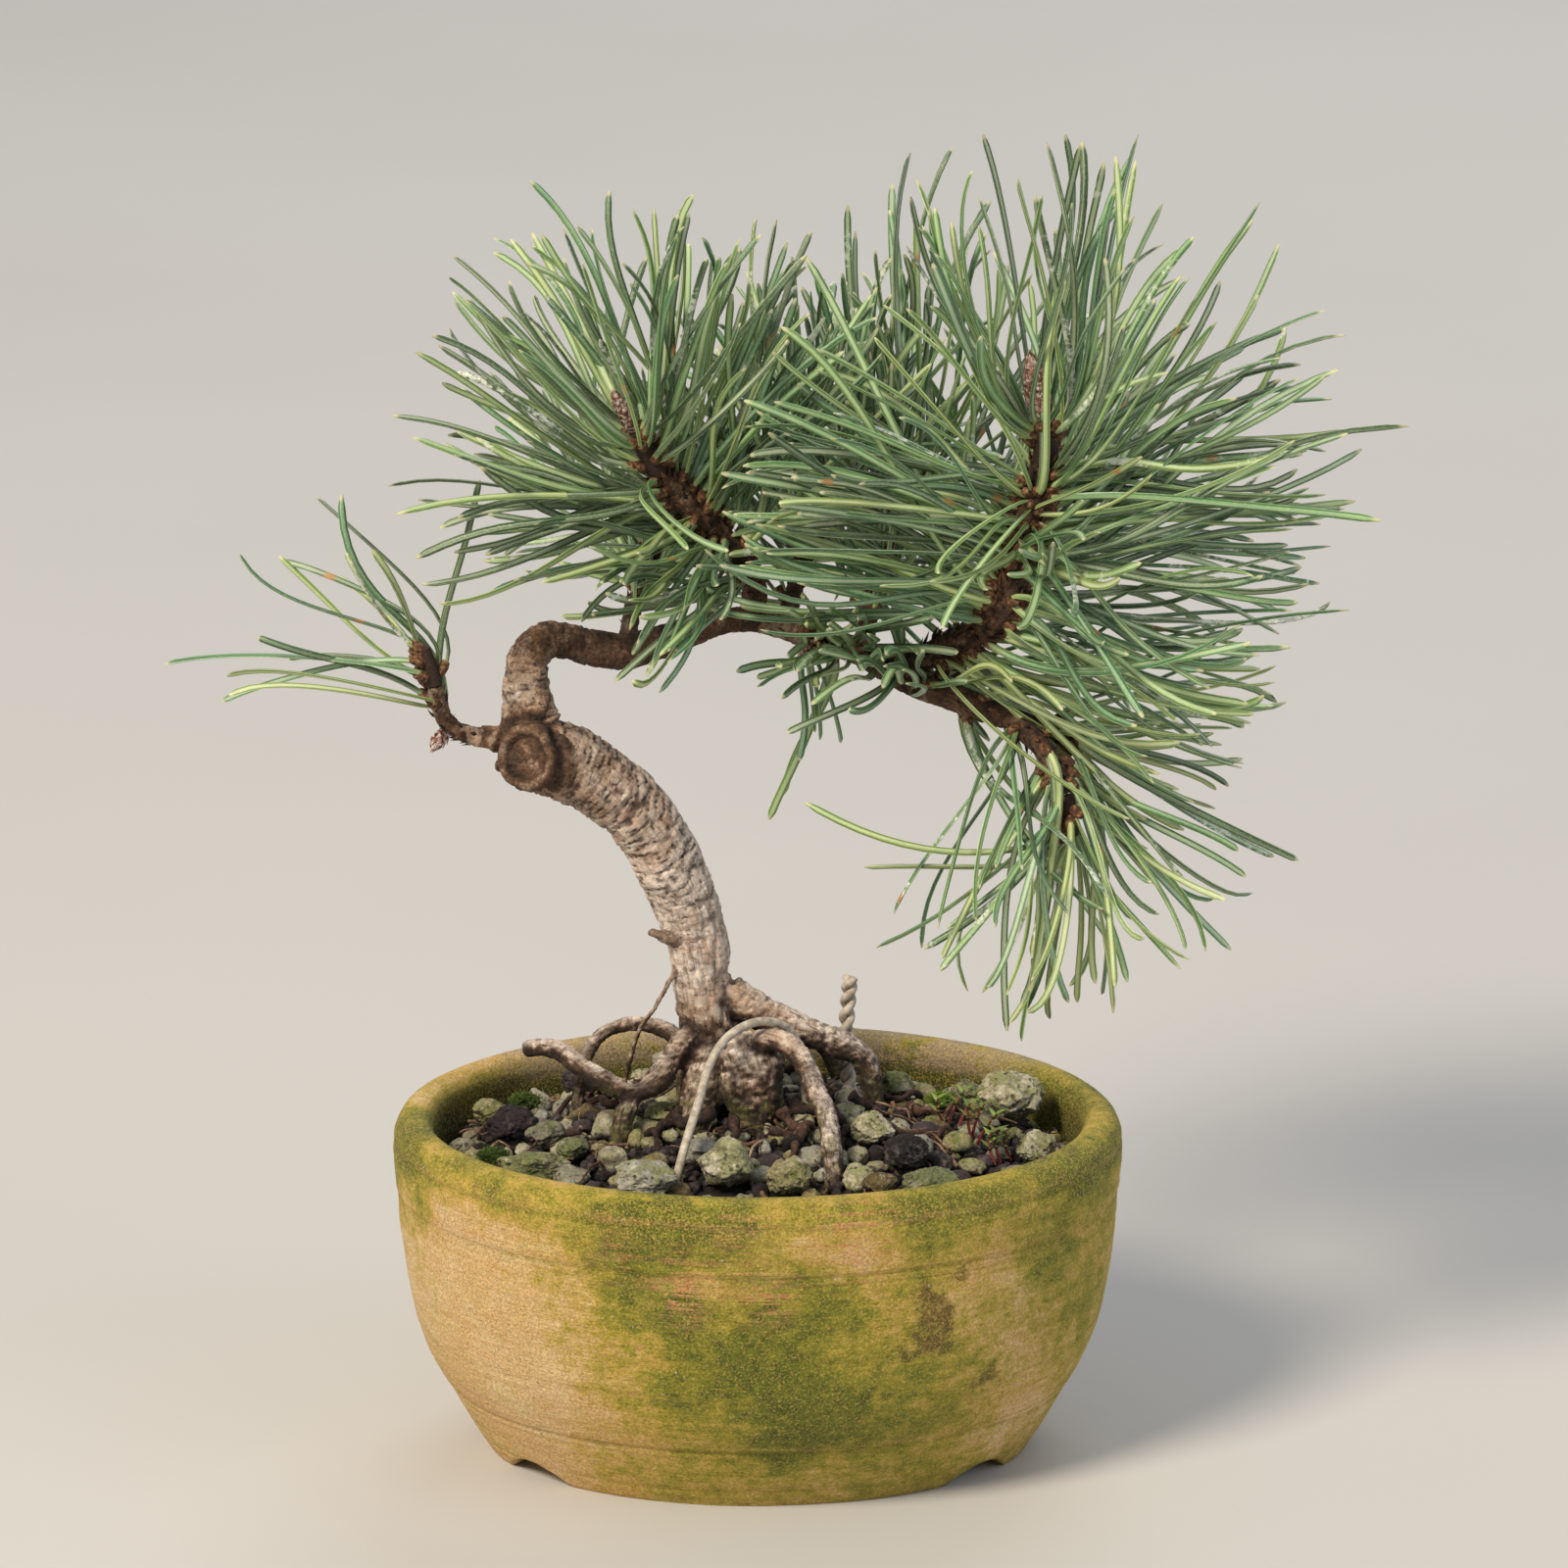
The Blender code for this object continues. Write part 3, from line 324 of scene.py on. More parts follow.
def patchesGroup():  # soft-edged patches with a crumbly border, such as algae, lichen or bare spots
    tree, net, given, out = newGroup("patches", ("Size", "Amount"), ("Mask", "Fine"))
    scale = 1.0 / given["Size"]
    broad = net.noise(given["Vector"], scale, 4.0, 0.6, 0.4)
    fine = net.noise(given["Vector"], scale * 9.0, 3.0, 0.7)
    both = broad * 0.72 + fine * 0.28
    edge = 0.86 - given["Amount"] * 0.72
    net.put(out["Mask"], net.span(both, edge - 0.07, edge + 0.07))
    net.put(out["Fine"], fine)
    return tree


def specksGroup():  # small uneven flecks, some cells with one and some without
    tree, net, given, out = newGroup("specks", ("Size", "Share"), ("Mask",))
    scale = 1.0 / given["Size"]
    shake = net.take("Color", "ShaderNodeTexNoise", {"Vector": given["Vector"], "Scale": scale * 2.6})
    moved = net.take(1, "ShaderNodeMix", {0: 0.22, 4: given["Vector"], 5: shake}, data_type="VECTOR")
    cell = net.add("ShaderNodeTexVoronoi", {"Vector": moved, "Scale": scale * 1.28})
    lots = net.parts(Wire(net, cell.outputs["Color"]))
    chosen = net.span(lots[0], 1.0 - given["Share"], 1.04 - given["Share"])
    wide = net.span(lots[1], 0.0, 1.0, 0.1, 0.42)
    spot = net.span(Wire(net, cell.outputs["Distance"]), wide * 0.6, wide, 1.0, 0.0)
    net.put(out["Mask"], chosen * spot)
    return tree


def grainGroup():  # the sandy tooth of clay, stone and bark
    tree, net, given, out = newGroup("grain", ("Size",), ("Height", "Shade"))
    scale = 1.0 / given["Size"]
    fine = net.noise(given["Vector"], scale, 4.0, 0.65)
    pits = net.cells(given["Vector"], scale * 0.7)
    net.put(out["Height"], fine + pits * 0.35)
    net.put(out["Shade"], net.span(fine, 0.32, 0.68))
    return tree


patches = patchesGroup()
specks = specksGroup()
grain = grainGroup()
say("shader groups ready")


# the clay pot

potLow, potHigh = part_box("pot")
potShape = {
    "halfWidth": (potHigh.x - potLow.x) / 2 / mm,
    "halfDepth": (potHigh.y - potLow.y) / 2 / mm,
    "tuck": 1.1,  # how much faster the wall draws in on the short axis
    # outer wall from the foot to the lip, then down the inside: (inset from the widest ring, height)
    "profile": [
        (30.0, 3.0), (24.0, 3.0), (22.8, 2.4), (22.4, 0.3), (21.6, 0.0), (16.4, 0.0), (15.6, 0.3),
        (14.9, 1.4), (12.8, 4.8), (10.7, 8.5), (8.9, 11.8), (6.7, 15.6), (5.1, 19.0), (3.9, 22.5),
        (3.0, 26.0), (1.8, 33.0), (1.0, 40.0), (0.7, 45.0), (0.4, 48.0), (0.1, 51.0), (0.0, 54.0),
        (0.5, 56.8), (1.8, 58.5), (3.6, 59.1), (5.4, 58.7), (6.5, 57.4), (6.8, 55.6), (6.6, 52.0),
        (7.0, 40.0), (8.6, 26.0), (12.0, 15.6), (15.2, 9.6), (19.0, 6.5), (30.0, 6.5),
    ],
    "grooves": [  # (height, depth, half height) of lines cut while the pot turned
        (45.9, 0.3, 0.5), (44.5, 0.16, 0.3), (47.6, 0.08, 0.25), (43.2, 0.08, 0.3), (12.1, 0.3, 0.45),
        (13.5, 0.12, 0.3), (54.3, 0.22, 0.5), (10.6, 0.1, 0.3), (36.4, 0.06, 0.3), (29.7, 0.05, 0.3),
        (22.8, 0.06, 0.3), (3.4, 0.12, 0.4),
    ],
    "around": 280,
    "rowStep": 0.5,
    "throwing": 0.05,  # height of the fine finger lines
    "wobble": 0.28,
    "notchHeight": 3.4,
    "notchHalfWidth": 7.0,
    "notchAngle": 54.0,  # to each side of the front and of the back
    "notchInset": 19.0,  # the middle of the foot ring
    "holeX": 22.0,
    "holeRadius": 6.0,
}


potLook = {
    "bare": "eac284", "bareLight": "f7dba6", "bareRed": "e09c62", "rubbed": "bda892",
    "ochre": "d3b149", "film": "a09e1e", "deepFilm": "647508", "blackFilm": "293a03",
    "stain": "5e4526", "lime": "f0e8cc", "soot": "4a4410", "sand": "e2bf60",
    "grainShade": "6a5522", "streak": "5b4a1e",
    # (x, y, height, reach, strength) of the film's thickest and driest places, the scuffs and the stains
    "green": [
        (-21, -48, 50, 11, 0.8), (-19, -49, 41, 10, 0.6), (-9, -50, 34, 12, 0.6), (-13, -48, 20, 9, 0.3),
        (5, -49, 27, 14, 0.75), (9, -46, 14, 13, 0.65), (23, -46, 20, 11, 0.4), (7, -51, 45, 10, 0.45),
        (24, -47, 46, 8, 0.3), (50, -29, 48, 10, 0.4), (56, -20, 34, 10, 0.3), (-57, -10, 57, 16, 1.2),
        (-46, -33, 58, 12, 1.0), (54, -23, 58, 13, 0.6), (24, -47, 57, 9, 0.4), (-6, -51, 58, 12, 0.35),
        (-20, 47, 30, 22, 0.5), (30, 42, 45, 16, 0.5), (-55, 22, 40, 18, 0.4), (60, 14, 52, 14, 0.5)],
    "dry": [
        (-44, -34, 28, 22, 0.5), (-34, -40, 18, 12, 0.3), (-36, -29, 8, 14, 0.4), (4, -52, 53, 9, 0.6),
        (17, -50, 52, 10, 0.7), (-10, -51, 46, 8, 0.5), (40, -37, 40, 11, 0.5), (44, -33, 26, 10, 0.4),
        (46, -26, 11, 12, 0.7), (8, -40, 2, 12, 0.4), (-50, -32, 48, 11, 0.5), (-59, 0, 30, 20, 0.6),
        (40, 38, 25, 18, 0.5), (-40, 38, 50, 14, 0.4)],
    "scuffs": [
        (-12, -51, 44, 8, 1.4), (2, -52, 43, 7, 1.2), (16, -50, 53, 10, 1.1), (-2, -52, 55, 8, 0.6),
        (-24, -47, 50, 7, 0.5), (-44, -36, 52, 12, 0.5)],
    "stains": [
        (27, -46, 37, 8, 0.6), (31, -43, 34, 7, 0.4), (35, -42, 46, 5, 0.55), (38, -36, 21, 6, 0.5),
        (-14, 50, 44, 9, 0.7)],
}


def potMaterial():
    look = potLook
    material, net, out = newMaterial("wornTerracotta", roughness=0.86)
    place = net.place()
    x, y, z = net.parts(place)
    layers = net.noise(place, (0.05, 0.05, 1.6), 5.0, 0.62)
    bands = net.noise(place, (0.03, 0.03, 0.32))
    cloud = net.noise(place, 0.075, 5.0, 0.62, 0.5)
    crumb = net.noise(place, 0.42, 5.0, 0.78)
    gritty = net.noise(place, 2.6, 3.0, 0.8)
    tall = net.stretch(place, 1.0, 1.0, 1.5)
    mottle = net.noise(net.stretch(place, 1.0, 1.0, 1.7), 0.17, 6.0, 0.74, 0.6)
    streak = net.noise(place, (0.09, 0.09, 4.5), 4.0, 0.7)
    sand = net.use(grain, Vector=place, Size=0.45)
    clay = net.mix(net.span(cloud, 0.35, 0.68), look["bare"], look["bareLight"])
    clay = net.mix(net.span(layers, 0.5, 0.68, 0.0, 0.4), clay, look["bareRed"])
    # how wet each place stays decides how thick the green film grows on it
    ripple = net.take("Color", "ShaderNodeTexNoise", {"Vector": place, "Scale": 0.11, "Detail": 4.0})
    push = net.stretch(ripple, 26.0, 26.0, 20.0)
    warped = net.take(0, "ShaderNodeVectorMath", (place, push), operation="ADD")
    spot = net.take(0, "ShaderNodeVectorMath", (warped, (13.0, 13.0, 10.0)), operation="SUBTRACT")
    wet = net.blots(spot, look["green"]) - net.blots(spot, look["dry"])
    pushes = ((cloud, 1.3), (layers, 0.8), (bands, 0.35), (mottle, 2.1), (crumb, 2.3), (gritty, 1.5))
    for value, by in pushes:
        wet = wet + net.sway(value, by)
    wet = wet + (net.span(x, -54.0, -4.0, -0.45, 0.34) + net.span(x, 26.0, 52.0, 0.0, -0.2))
    wet = wet + net.span(z, 50.0, 56.0) * net.span(z, 59.0, 57.6, 0.35, 1.0) * 0.62
    thick = net.use(patches, Vector=tall, Size=2.6, Amount=net.span(wet, 0.2, 1.2, 0.0, 0.5))["Mask"]
    inside = net.mark("inside")
    insideDarkening = net.span(cloud, 0.35, 0.7, 0.95, 0.5) * net.span(z, 58.0, 52.0, 0.25, 1.0)
    rubbed = net.span(z, 53.0, 56.0) * net.span(y, 20.0, 36.0)
    rubbed = rubbed * net.span(cloud + net.sway(crumb, 0.5), 0.34, 0.52)
    worn = net.mark("ridge") * net.span(layers + net.sway(crumb, 0.4), 0.44, 0.6)
    scuffed = net.span(layers, 0.46, 0.56) * net.blots(place, look["scuffs"])
    worn = worn * 0.5 + scuffed * net.span(crumb, 0.35, 0.6)
    wornTint = net.mix(net.span(crumb, 0.3, 0.6), look["bareLight"], look["bareRed"])
    patchy = net.span(cloud + net.sway(crumb, 0.4), 0.4, 0.6, 0.08, 0.5)
    stain = net.blots(spot, look["stains"]) + (net.sway(crumb, 1.6) + net.sway(mottle, 1.0))
    grit = net.span(gritty + net.span(z, 48.0, 56.0, 0.0, 0.03), 0.52, 0.62, 0.0, 0.7)
    gritTint = net.mix(net.span(wet, -0.6, 0.0), look["bareLight"], look["sand"])
    flecks = net.use(specks, Vector=place, Size=0.7, Share=0.07)["Mask"]
    rimFlecks = net.use(specks, Vector=tall, Size=1.1, Share=0.34)["Mask"]
    rimFlecks = rimFlecks * net.span(z, 42.0, 53.0, 0.12, 0.75)
    skin = net.coats(
        clay,
        (net.span(wet, -0.85, 0.2, 0.0, 0.85), look["ochre"]),
        (net.span(wet, -0.25, 0.5, 0.0, 0.85), look["film"]),
        (net.span(wet, 0.2, 1.0, 0.0, 0.85), look["deepFilm"]),
        (thick * 0.5, look["blackFilm"]),
        # the inside wall is darker, more so on the left and further down, and the back of the lip is rubbed
        # bare
        (inside * net.span(x, 40.0, -40.0, 0.6, 0.9), look["deepFilm"]),
        (inside * insideDarkening, look["blackFilm"]),
        (rubbed * 0.85, look["rubbed"]),
        # ridges wear back to clay, and film darkens the cut lines
        (worn * 0.85, wornTint),
        (net.mark("crease") * patchy, look["deepFilm"]),
        # brown stains, bare tan grains, lime flecks and soot
        (net.span(stain, 0.25, 0.75, 0.0, 0.8), look["stain"]),
        (grit, gritTint),
        (flecks * net.span(mottle, 0.45, 0.62, 0.0, 0.6), look["lime"]),
        (rimFlecks * net.span(crumb, 0.47, 0.56), look["sand"]),
        (net.span(gritty, 0.46, 0.34, 0.0, 0.5), look["soot"]),
        ((1.0 - sand["Shade"]) * 0.42, look["grainShade"], "MULTIPLY"),
        (net.span(streak, 0.46, 0.3, 0.0, 0.18), look["streak"], "MULTIPLY"))
    relief = sand["Height"] * 0.8 + streak * 0.9 + crumb * 1.2 + gritty * 1.1 + thick * 0.25
    net.dress(out, skin, relief, 0.85, 0.0004, rough=net.span(wet, -0.2, 0.9, 0.92, 0.78))
    return material


def notchHeightAt(x, y, shape):  # height of the arch cut through the foot at this place, or below zero
    half = shape["notchHalfWidth"]
    high = shape["notchHeight"]
    radius = (half * half + high * high) / (2 * high)
    best = np.full(x.shape, -9.0)
    for base in (0, 180):
        for side in (-1, 1):
            angle = math.radians(base + side * shape["notchAngle"])
            a = shape["halfWidth"] - shape["notchInset"]
            b = shape["halfDepth"] - shape["notchInset"] * shape["tuck"]
            centre = np.array((a * math.sin(angle), -b * math.cos(angle)))
            outward = unit((math.sin(angle) / a, -math.cos(angle) / b))
            along = np.array((-outward[1], outward[0]))
            offset = (x - centre[0]) * along[0] + (y - centre[1]) * along[1]
            near = ((x - centre[0]) * outward[0] + (y - centre[1]) * outward[1]) > -12
            arch = high - radius + np.sqrt(np.maximum(radius * radius - offset * offset, 0))
            best = np.maximum(best, np.where(near & (np.abs(offset) < half), arch, -9.0))
    return best


def makePot(material):
    shape = potShape
    rows = smoothRoute(shape["profile"], shape["rowStep"])
    inset, height = rows[:, 0].copy(), rows[:, 1]
    lipRow = int(np.argmax(height))
    outer = np.arange(len(rows)) <= lipRow
    crease = np.zeros(len(rows))
    ridge = np.zeros(len(rows))
    for level, depth, half in shape["grooves"]:
        cut = np.exp(-((height - level) / half) ** 2) * outer
        bank = np.exp(-((height - level - 2.2 * half) / (1.3 * half)) ** 2) * outer
        inset += depth * cut - 0.35 * depth * bank
        crease = np.maximum(crease, cut * min(1.0, depth / 0.35))
        ridge = np.maximum(ridge, bank * min(1.0, depth / 0.3))
    ridge = np.maximum(ridge, np.exp(-((height - 1.2) / 1.6) ** 2) * outer)
    around = shape["around"]
    turn = turns(around)
    a = (shape["halfWidth"] - inset)[:, None]
    b = (shape["halfDepth"] - inset * shape["tuck"])[:, None]
    x, y = a * np.cos(turn), b * np.sin(turn)
    z = np.broadcast_to(height[:, None], x.shape).copy()
    outward = np.stack([np.cos(turn) / shape["halfWidth"], np.sin(turn) / shape["halfDepth"]])
    outward /= np.linalg.norm(outward, axis=0)
    push = np.zeros(x.shape)
    for i in range(x.shape[0]):
        for k in range(around):
            spot = Vector((x[i, k], y[i, k], z[i, k]))
            rings = wave(spot.x * 0.02, spot.y * 0.02, spot.z * 1.1 + 0.01 * spot.x)
            lump = noise.noise(spot * 0.06) + 0.35 * noise.noise(spot * 0.21)
            chip = max(0.0, noise.noise(spot * 0.45 + Vector((5, 5, 5))) - 0.42)
            push[i, k] = shape["throwing"] * rings * 2 + shape["wobble"] * 0.6 * lump - 0.5 * chip
    push -= 0.12
    x += push * outward[0]
    y += push * outward[1]
    z += np.where(height[:, None] > 56, 0.25 * push, 0)
    arch = notchHeightAt(x, y, shape)
    footPart = np.broadcast_to((inset > 9)[:, None], x.shape) & (z < 5.5) & (inset < 23.5)[:, None]
    z = np.where(footPart, np.maximum(z, arch), z)
    mesh = bpy.data.meshes.new("clayPot")
    count = len(rows)
    points = np.stack([x, y, z], -1).reshape(-1, 3)
    points = np.vstack([points, [[0, 0, height[0]], [0, 0, height[-1]]]])
    faces = ringFaces(count, around, caps=False)
    for k in range(around):
        faces.append((count * around, (k + 1) % around, k))
        last = (count - 1) * around
        faces.append((count * around + 1, last + k, last + (k + 1) % around))
    mesh.from_pydata((points * mm).tolist(), [], faces)
    inner = soften(np.arange(count), lipRow + 3, lipRow + 12)
    for label, values in (("crease", crease), ("ridge", ridge), ("inside", inner)):
        setMark(mesh, label, np.append(np.repeat(values, around), [0.0, values[-1]]))
    drains = Batch()
    for side in (-1, 1):
        middle = np.array([(side * shape["holeX"], 0, height) for height in (1.0, 5.0, 9.0)])
        drains.add(*roundTube(middle, shape["holeRadius"], 48))
    pot = asPiece("clayPot", mesh, [material], ["pot"])
    cutter = drains.build("drainCutter", [material])
    cutHoles(pot, cutter)
    pot.data.shade_smooth()
    pot.data.set_sharp_from_angle(angle=math.radians(55))
    return pot


def cutHoles(piece, cutter):  # one applied Boolean, after which the cutter is gone
    step = piece.modifiers.new("holes", "BOOLEAN")
    step.operation = "DIFFERENCE"
    step.object = cutter
    applyAll(piece)
    bpy.data.objects.remove(cutter, do_unlink=True)


def applyAll(piece):  # the evaluated mesh becomes the piece's own
    bpy.context.view_layer.update()
    graph = bpy.context.evaluated_depsgraph_get()
    made = bpy.data.meshes.new_from_object(piece.evaluated_get(graph))
    old = piece.data
    piece.modifiers.clear()
    piece.data = made
    made.name = piece.name
    bpy.data.meshes.remove(old)


makePot(potMaterial())
say("pot done")


# routes of the wood: (x, y, height, radius) from its base on

woodRoutes = {
    "trunk": {
        "tone": (0.42, 0.7, 0.96, 0.86, 0.56, 0.3),
        "wrinkle": (0.2, 0.15, 0.25, 0.8, 0.9, 0.6), "route": [
        (-5.6, 8.0, 54.0, 8.2), (-6.4, 8.0, 61.0, 7.6), (-7.6, 8.0, 69.0, 6.1), (-8.6, 7.5, 74.7, 5.2),
        (-9.5, 7.0, 80.0, 5.0), (-10.3, 6.0, 87.4, 5.2), (-12.4, 5.0, 95.0, 5.6), (-15.4, 3.0, 103.0, 5.7),
        (-20.0, 1.5, 110.6, 5.8), (-26.6, 0.0, 117.2, 6.2), (-32.4, -1.0, 120.8, 6.6),
        (-38.2, -1.5, 123.2, 6.4), (-43.0, -1.5, 124.4, 4.4)]},
    "leader": {
        "tone": (0.5, 0.55, 0.2, 0.14, 0.1, 0.2, 0.48, 0.2, 0.12, 0.24, 0.1, 0.12),
        "wrinkle": (0.9, 0.9, 0.7, 0.5, 0.4, 0.3, 0.4, 0.6), "route": [
        (-37.4, -1.0, 123.0, 5.4), (-38.4, -0.5, 128.0, 4.8), (-38.9, 0.5, 133.8, 4.0),
        (-38.4, 1.0, 138.6, 3.4), (-35.6, 2.0, 141.4, 3.1), (-31.5, 3.0, 140.8, 3.0),
        (-27.0, 4.0, 139.4, 3.1), (-21.9, 5.0, 138.6, 3.1), (-16.7, 6.0, 139.8, 2.9),
        (-12.0, 6.0, 141.7, 2.6), (-6.2, 6.0, 143.6, 2.3), (-0.4, 6.0, 144.0, 2.2), (5.4, 5.0, 142.6, 2.2),
        (12.8, 4.0, 140.4, 2.2), (17.7, 3.0, 139.0, 2.4), (22.0, 2.0, 136.8, 2.6), (26.8, 0.0, 134.7, 2.6),
        (31.7, -2.0, 133.4, 2.6), (37.4, -4.0, 131.4, 2.5), (44.0, -5.2, 129.6, 2.2),
        (51.6, -5.6, 127.4, 1.8)]},
    "side_twig": {"tone": (0.45, 0.35), "wrinkle": (0.6, 0.6), "route": [
        (-41.0, -1.5, 124.6, 2.2), (-44.6, -2.0, 125.4, 1.9), (-48.5, -3.0, 126.2, 1.6),
        (-51.8, -4.0, 128.2, 1.5), (-53.3, -5.0, 131.9, 1.5), (-54.0, -6.0, 135.8, 1.4)]},
    "left_crown": {"tone": (0.14, 0.1), "wrinkle": (0.5, 0.5), "route": [
        (-1.2, 5.6, 143.4, 2.0), (-0.4, 3.0, 150.0, 2.2), (-2.6, 0.0, 155.2, 2.3), (-6.0, -3.0, 160.2, 2.3),
        (-10.0, -6.0, 165.1, 2.3), (-13.4, -8.0, 169.3, 2.2), (-16.0, -10.0, 173.3, 2.0)]},
    "back_twig": {"tone": (0.25, 0.2), "wrinkle": (0.5, 0.5), "route": [
        (-22.2, 6.0, 139.0, 1.6), (-21.0, 12.0, 144.6, 1.5), (-19.4, 15.0, 147.8, 1.4),
        (-17.9, 18.0, 151.0, 1.3)]},
    "right_crown": {"tone": (0.14, 0.08), "wrinkle": (0.5, 0.5), "route": [
        (22.4, 1.6, 136.9, 2.2), (27.5, -3.0, 139.5, 2.2), (33.2, -7.0, 143.5, 2.3),
        (38.5, -11.0, 147.6, 2.5), (41.1, -14.0, 152.0, 2.5), (42.7, -16.0, 157.1, 2.4),
        (44.2, -18.0, 163.9, 2.4), (45.7, -20.0, 171.1, 2.4), (47.3, -22.0, 178.2, 2.2)]},
    "middle_left": {"tone": (0.14, 0.1), "wrinkle": (0.5, 0.5), "route": [
        (4.4, 5.4, 142.4, 1.7), (6.5, 13.0, 148.0, 1.6), (8.9, 20.0, 154.0, 1.5),
        (11.5, 26.0, 160.0, 1.4)]},
    "middle_right": {"tone": (0.14, 0.1), "wrinkle": (0.5, 0.5), "route": [
        (17.6, 3.4, 138.8, 1.8), (19.5, 15.0, 145.6, 1.7), (22.1, 24.0, 152.6, 1.6),
        (25.5, 32.0, 160.6, 1.5)]},
    "back_right": {"tone": (0.14, 0.1), "wrinkle": (0.5, 0.5), "route": [
        (31.4, -1.6, 133.6, 1.9), (35.3, 12.0, 138.0, 1.8), (39.7, 23.0, 145.2, 1.7),
        (44.9, 34.0, 153.0, 1.6)]},
    "droop": {"tone": (0.12, 0.1), "wrinkle": (0.5, 0.5), "route": [
        (42.0, -4.8, 130.0, 2.0), (46.4, -11.0, 127.6, 1.8), (49.8, -14.4, 124.0, 1.6),
        (51.2, -15.4, 119.4, 1.5)]},
    "root_right": {"tone": (0.62, 0.75, 0.3), "wrinkle": (0.15, 0.1), "route": [
        (-5.0, 7.2, 77.4, 3.6), (2.8, 6.0, 73.4, 2.9), (11.2, 6.0, 70.0, 2.5), (17.6, 6.0, 66.8, 2.2),
        (19.6, 6.2, 60.8, 1.8), (20.4, 6.6, 50.0, 1.4)]},
    "root_right_back": {"tone": (0.4, 0.3), "wrinkle": (0.15, 0.1), "route": [
        (-4.0, 11.0, 73.0, 2.4), (5.0, 17.0, 69.0, 1.8), (12.0, 21.0, 63.0, 1.5), (16.0, 23.0, 50.0, 1.2)]},
    "root_left": {"tone": (0.3, 0.3, 0.6), "wrinkle": (0.1, 0.3), "route": [
        (-9.6, 6.6, 72.0, 3.0), (-14.2, 1.6, 68.0, 2.4), (-18.0, -4.0, 64.6, 2.1), (-22.4, -6.0, 64.2, 1.9),
        (-28.8, -4.4, 67.4, 1.8), (-34.2, -1.0, 70.2, 1.7), (-39.6, 2.0, 69.4, 1.4)]},
    "root_left_arched": {"tone": (0.4, 0.6), "wrinkle": (0.15, 0.1), "route": [
        (-11.0, 9.0, 66.8, 2.2), (-16.0, 12.0, 69.6, 1.5), (-21.4, 13.4, 70.2, 1.3),
        (-26.4, 13.0, 68.8, 1.2), (-29.6, 11.0, 64.6, 1.2), (-31.0, 9.6, 57.0, 1.2),
        (-31.6, 9.0, 49.0, 1.1)]},
    "root_left_prop": {"tone": (0.3, 0.3), "wrinkle": (0.1, 0.1), "route": [
        (-20.4, -5.4, 63.8, 1.8), (-23.0, -9.0, 59.0, 1.7), (-23.6, -11.0, 49.0, 1.4)]},
    "root_front": {"tone": (0.32, 0.12), "wrinkle": (0.1, 0.1), "route": [
        (-7.6, 4.0, 66.0, 5.0), (-9.4, -2.6, 62.0, 3.8), (-11.6, -8.0, 56.0, 2.6),
        (-12.6, -10.0, 49.0, 2.0)]},
    "root_knob": {"tone": (0.55, 0.35), "wrinkle": (0.45, 0.4), "route": [
        (-3.6, 3.6, 66.0, 5.2), (-1.6, -1.6, 66.8, 5.8), (-0.6, -4.6, 62.0, 5.2), (-0.4, -5.6, 54.0, 4.2)]},
    "root_knob_arch": {"tone": (0.42, 0.72), "wrinkle": (0.15, 0.1), "route": [
        (-1.0, -2.0, 70.6, 2.4), (3.0, -4.6, 72.9, 2.1), (7.0, -8.6, 71.4, 1.9), (9.6, -13.0, 67.0, 1.9),
        (11.8, -19.0, 63.4, 1.8), (12.6, -24.4, 59.0, 1.7), (12.8, -27.6, 50.0, 1.4)]},
    # small growth that only shows, too fine for the solid model
    "dead_stub": {"tone": (0.5, 0.3), "wrinkle": (0.3, 0.3), "route": [
        (-12.6, 3.0, 88.6, 1.6), (-15.8, 1.2, 89.4, 1.0), (-17.8, 0.4, 90.6, 0.8),
        (-18.6, 0.0, 90.2, 0.5)]},
    "air_root": {"tone": (0.55, 0.45), "wrinkle": (0.2, 0.2), "route": [
        (-12.4, 4.6, 85.4, 0.9), (-14.4, 3.6, 82.0, 0.55), (-17.4, 3.4, 76.4, 0.5), (-20.4, 3.4, 71.6, 0.5),
        (-23.0, 3.0, 62.0, 0.5)]},
}
woodSkin = {
    "voxel": 0.42,
    "wrinkleDepth": 0.5,
    "plateDepth": 0.5,
    "fineDepth": 0.1,
    "smoothing": (0.5, 5),  # strength and rounds after the remesh
    "scarCentre": (-38.6, -7.2, 123.4),
    "scarFacing": (-0.28, -0.94, 0.16),
    "scarStretch": 1.14,
    "scarDisc": [(2.0, 0.2), (3.6, 0.5), (4.6, 0.6), (5.3, 0.1), (5.6, -1.4), (5.1, -3.6)],  # (radius, lift)
    "scarTone": ((0, 2.8, 3.2, 4.0, 5.0, 5.5, 6.2, 7.2), (0.22, 0.14, 0.0, 0.3, 0.2, 0.0, 0.06, 0.3)),
    "slit": ((-26.6, -6.2, 122.6), (-24.6, -6.6, 119.2)),  # a dark split beside the scar
}


def scarFrame():
    facing = unit(woodSkin["scarFacing"])
    across = unit(np.cross(facing, (0, 0, 1)))
    return np.array(woodSkin["scarCentre"]), facing, across, unit(np.cross(across, facing))


def scarDisc():  # a rounded disc that the remesh fuses with the trunk
    centre, facing, across, upward = scarFrame()
    turn = turns(40)[:, None]
    ring = woodSkin["scarStretch"] * np.sin(turn) * upward + np.cos(turn) * across
    rings = [centre + facing * lift + radius * ring for radius, lift in woodSkin["scarDisc"]]
    return np.concatenate(rings), ringFaces(len(rings), 40)


